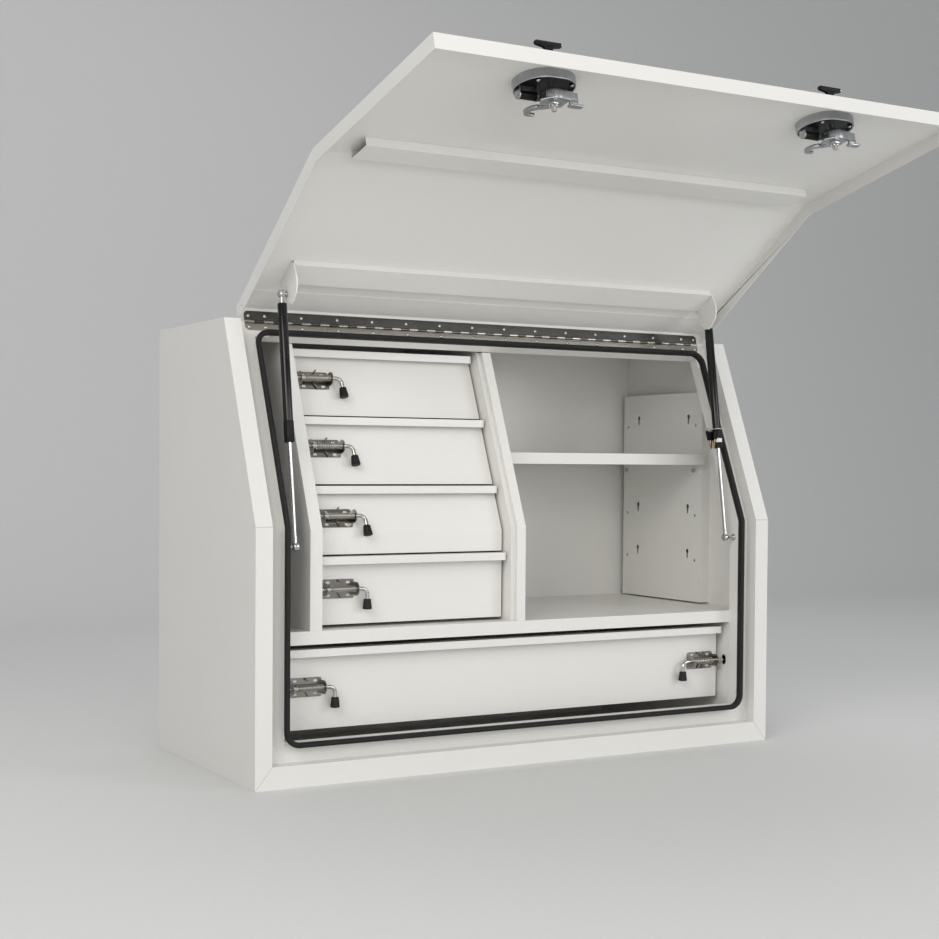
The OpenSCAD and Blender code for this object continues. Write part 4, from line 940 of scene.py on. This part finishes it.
def buildNuts(pile, b, place):
    hexLine = circleLine(0, 0, b["nutRound"], 6)
    thick = b["nutThick"]
    for y, crown in b["nuts"]:
        flatPart(pile, [hexLine, circleLine(0, 0, b["nutBore"], 20)], thick,
                 place @ shift(0, y + thick, 0) @ flatXZ, 0.5)
        for k in range(6 if crown else 0):
            a = math.radians(60 * k + 30)
            lug = place @ shift(0, y + thick - 0.2, 0) @ Matrix.Rotation(a, 4, "Y")
            flatPart(pile, [roundedLine(4.7, -2, 7.1, 2, 0.5, 2)], crown,
                     lug @ shift(0, crown, 0) @ flatXZ, 0.3)


def buildCam(pile, b, place):
    r, y, low, at = b["armRound"], b["camY"], b["hubFrom"], b["armAt"]
    lathe(pile, [(4.8, low), (7, low), (7.5, low + 0.5), (7.5, y - 0.5), (4.8, y)], 28,
          place @ alongY)
    outer = arc(at, at, r, 203.6, 293.6, 18)
    inner = arc(at, at, r - b["armWide"], 293.6, 208, 16)
    arm = outer + [(43, -9.5), (43.6, -7.8), (43, -6)] + inner
    slab = place @ shift(0, y, 0) @ flatXZ
    flatPart(pile, [arm], b["armDeep"], slab, 0.5)
    for x, z in arc(at, at, r - 0.1, 206, 242, b["serrations"] - 1):  # serrations near the hub
        lathe(pile, [(0.6, 0), (1.1, 0.5), (1.1, b["armDeep"] - 2)], 10,
              place @ shift(x, y - b["armDeep"] + 0.6, z) @ alongY)
    plate = [(-24, 0), (-14, -11), (-4, -15), (12, -14.5), (25, -12), (25, 15), (8, 25), (-3, 33),
             (-12, 24)]
    holes = [circleLine(17, 4, 1.8, 12), [(x - 8, z + 17) for x, z in ovalLine(5, 2.4, 5)]]
    flatPart(pile, [plate] + holes, 3, slab, 0.5)
    hook = [(-6, 22), (-18, 20), (-25, 27), (-30, 38), (-29, 45), (-26, 50), (-22, 55), (-16, 57),
            (-3, 55), (-4, 50), (-13, 50), (-17, 48), (-19, 44), (-18, 37), (-13, 32), (-8, 29)]
    flatPart(pile, [hook], 5, place @ shift(0, y + 2, 0) @ flatXZ, 0.8)
    ly, lz = b["lugAt"]
    lug = [(y - 1, lz - 8), (y - 1, lz + 8), (ly, lz + 8)] + arc(ly, lz, 8, 100, 260, 12)
    lug += [(ly, lz - 8)]
    flatPart(pile, [lug, circleLine(ly, lz, 3, 16)], 2.5,
             place @ shift(-14.5, 0, 0) @ alongX, 0.4)
    web = [(-13, 8), (-5, 5), (-5, 2), (-13, 5)]
    flatPart(pile, [web], 9, slab, 0.3)
    flatPart(pile, [roundedLine(24, -12.5, 41, -8, 1, 2)], 8.5,
             place @ shift(0, b["leverY"] + 1, 0) @ flatXZ, 0.4)
    flatPart(pile, [roundedLine(24, -14, 50, -2, 3, 4)], 3,
             place @ shift(0, b["leverY"] + 3, 0) @ flatXZ, 0.5)


def buildHandle(pile, b, place):
    at = place @ shift(-b["side"], b["pivotY"], b["pivotZ"])
    lathe(pile, [(0, -13), (2.1, -12.9), (2.5, -12.4), (2.5, 12.4), (2.1, 12.9), (0, 13)], 18,
          at @ alongX, 1)
    reach, half, r, end = b["reach"], b["barHalf"], b["gripRound"], b["barEnd"]
    fx, fy, fr = b["fillet"]
    outline = ([(r, 0)] + arc(0, 0, r, 20, 160, 8) + [(-r, 0), (-6, -20), (-6.4, -38)]
               + arc(-fx, -fy, fr, 0, -80, 6) + arc(-half, -reach, end, 110, 250, 8)
               + arc(half, -reach, end, -70, 70, 8) + arc(fx, -fy, fr, 260, 180, 6)
               + [(6.4, -38), (6, -20)])
    outline = [(x, min(y, 3.9)) for x, y in outline]  # cut flat short of the dish's floor
    flatPart(pile, [outline], b["gripThick"], at @ shift(0, 0, -b["gripThick"] / 2), 1.8)
    bar = [(x, -reach, 0) for x in (-26, -25.4, -24, -22, 0, 16, 18.5, 20)]
    sizes = (1.5, 2.9, 3.9, 4.4, 4.5, 4.4, 4.1, 3.9)
    sweepTube(pile, bar, lambda u: sizes[min(7, round(u * 7))], 24, place=at)
    lathe(pile, [(0, 0), (3.5, 0), (3.5, 5), (3.9, 5.3), (3.9, 6.6), (3.4, 7), (1.6, 7),
                 (1.4, 6.2), (0, 6.2)], 24,
          at @ shift(half - 4, -reach, 0) @ alongX, 1)


clamps, dishes, nuts = bmesh.new(), bmesh.new(), bmesh.new()
for word, side in (("left", -1), ("right", 1)):
    place = opened @ shift(side * latch["x"], front - lidSizes["proud"], latch["z"])
    buildClamp(clamps, latch, place)
    for build in (buildDish, buildRoller, buildStud):
        build(dishes, latch, place)
    buildNuts(nuts, latch, place)
    pile = bmesh.new()
    buildCam(pile, latch, place)
    node = word + "_latch_cam"
    finishPile(node + "_cast", pile, node, ["castZinc"])
    pile = bmesh.new()
    buildHandle(pile, latch, place)
    node = word + "_latch_handle"
    finishPile(node + "_grip", pile, node, ["plastic", "chrome"])
finishPile("latch_clamps", clamps, "latch_clamp_rings", ["castZinc", "plastic", "chrome"])
finishPile("latch_dishes", dishes, "latch_housings", ["plastic", "zinc"])
finishPile("latch_crown_nuts", nuts, "latch_nuts", ["chrome"])

# Floor that curves up into a pale backdrop, and soft lights
print("stage: floor and lights")
stage = dict(halfWidth=9, near=-7, far=4.2, rise=6, radius=1.6, steps=14,
             colour=(0.74, 0.74, 0.73, 1), dim=0.965, rough=0.7)


def addFloor(s):
    mesh = bmesh.new()
    line = [(s["near"], 0.0), (s["far"] - s["radius"], 0.0)]
    line += arc(s["far"] - s["radius"], s["radius"], s["radius"], -90, 0, s["steps"])[1:]
    line.append((s["far"], s["rise"]))
    rows = [[mesh.verts.new((x, y, z)) for x in (-s["halfWidth"], s["halfWidth"])]
            for y, z in line]
    for a, b in zip(rows, rows[1:]):
        mesh.faces.new((a[0], a[1], b[1], b[0]))
    data = bpy.data.meshes.new("floor")
    mesh.to_mesh(data)
    mesh.free()
    for face in data.polygons:
        face.use_smooth = True
    obj = bpy.data.objects.new("floor", data)
    bpy.context.collection.objects.link(obj)
    material, tree = newMaterial("floorPaint")
    cloud = addNode(tree, "ShaderNodeTexNoise", Scale=1.4, Detail=4.0)
    colour = mixColours(tree, rangeNode(tree, cloud.outputs["Fac"], 0.3, 0.7),
                        s["colour"], tuple(c * s["dim"] for c in s["colour"][:3]) + (1,))
    addShader(tree, Base_Color=colour, Roughness=s["rough"])
    obj.data.materials.append(material)


addFloor(stage)
lights = dict(
    key=dict(place=(-3.5, -2.9, 2.8), aim=0.5, size=2.4, power=86, colour=(1, 0.975, 0.94)),
    fill=dict(place=(2.6, -3.8, 1.7), aim=0.5, size=1.8, power=43, colour=(0.96, 0.98, 1)),
    low=dict(place=(-0.8, -4.4, 1.3), aim=0.5, size=2.2, power=38, colour=(1, 0.985, 0.96)),
    top=dict(place=(0.4, 0.6, 4.2), aim=0.4, size=3.2, power=38, colour=(1, 1, 1)))


def addLight(name, p):
    data = bpy.data.lights.new(name, "AREA")
    data.size = p["size"]
    data.energy = p["power"]
    data.color = p["colour"]
    obj = bpy.data.objects.new(name, data)
    obj.location = p["place"]
    ahead = Vector((0, 0, p["aim"])) - obj.location  # aimed at a height on the middle line
    obj.rotation_euler = ahead.to_track_quat("-Z", "Y").to_euler()
    bpy.context.collection.objects.link(obj)


for name, values in lights.items():
    addLight(name, values)

sky = dict(colour=(0.9, 0.92, 0.95, 1), strength=0.38)
world = bpy.data.worlds.new("studio")
bpy.context.scene.world = world
world.use_nodes = True
background = world.node_tree.nodes["Background"]
background.inputs["Color"].default_value = sky["colour"]
background.inputs["Strength"].default_value = sky["strength"]

print("stage: done")
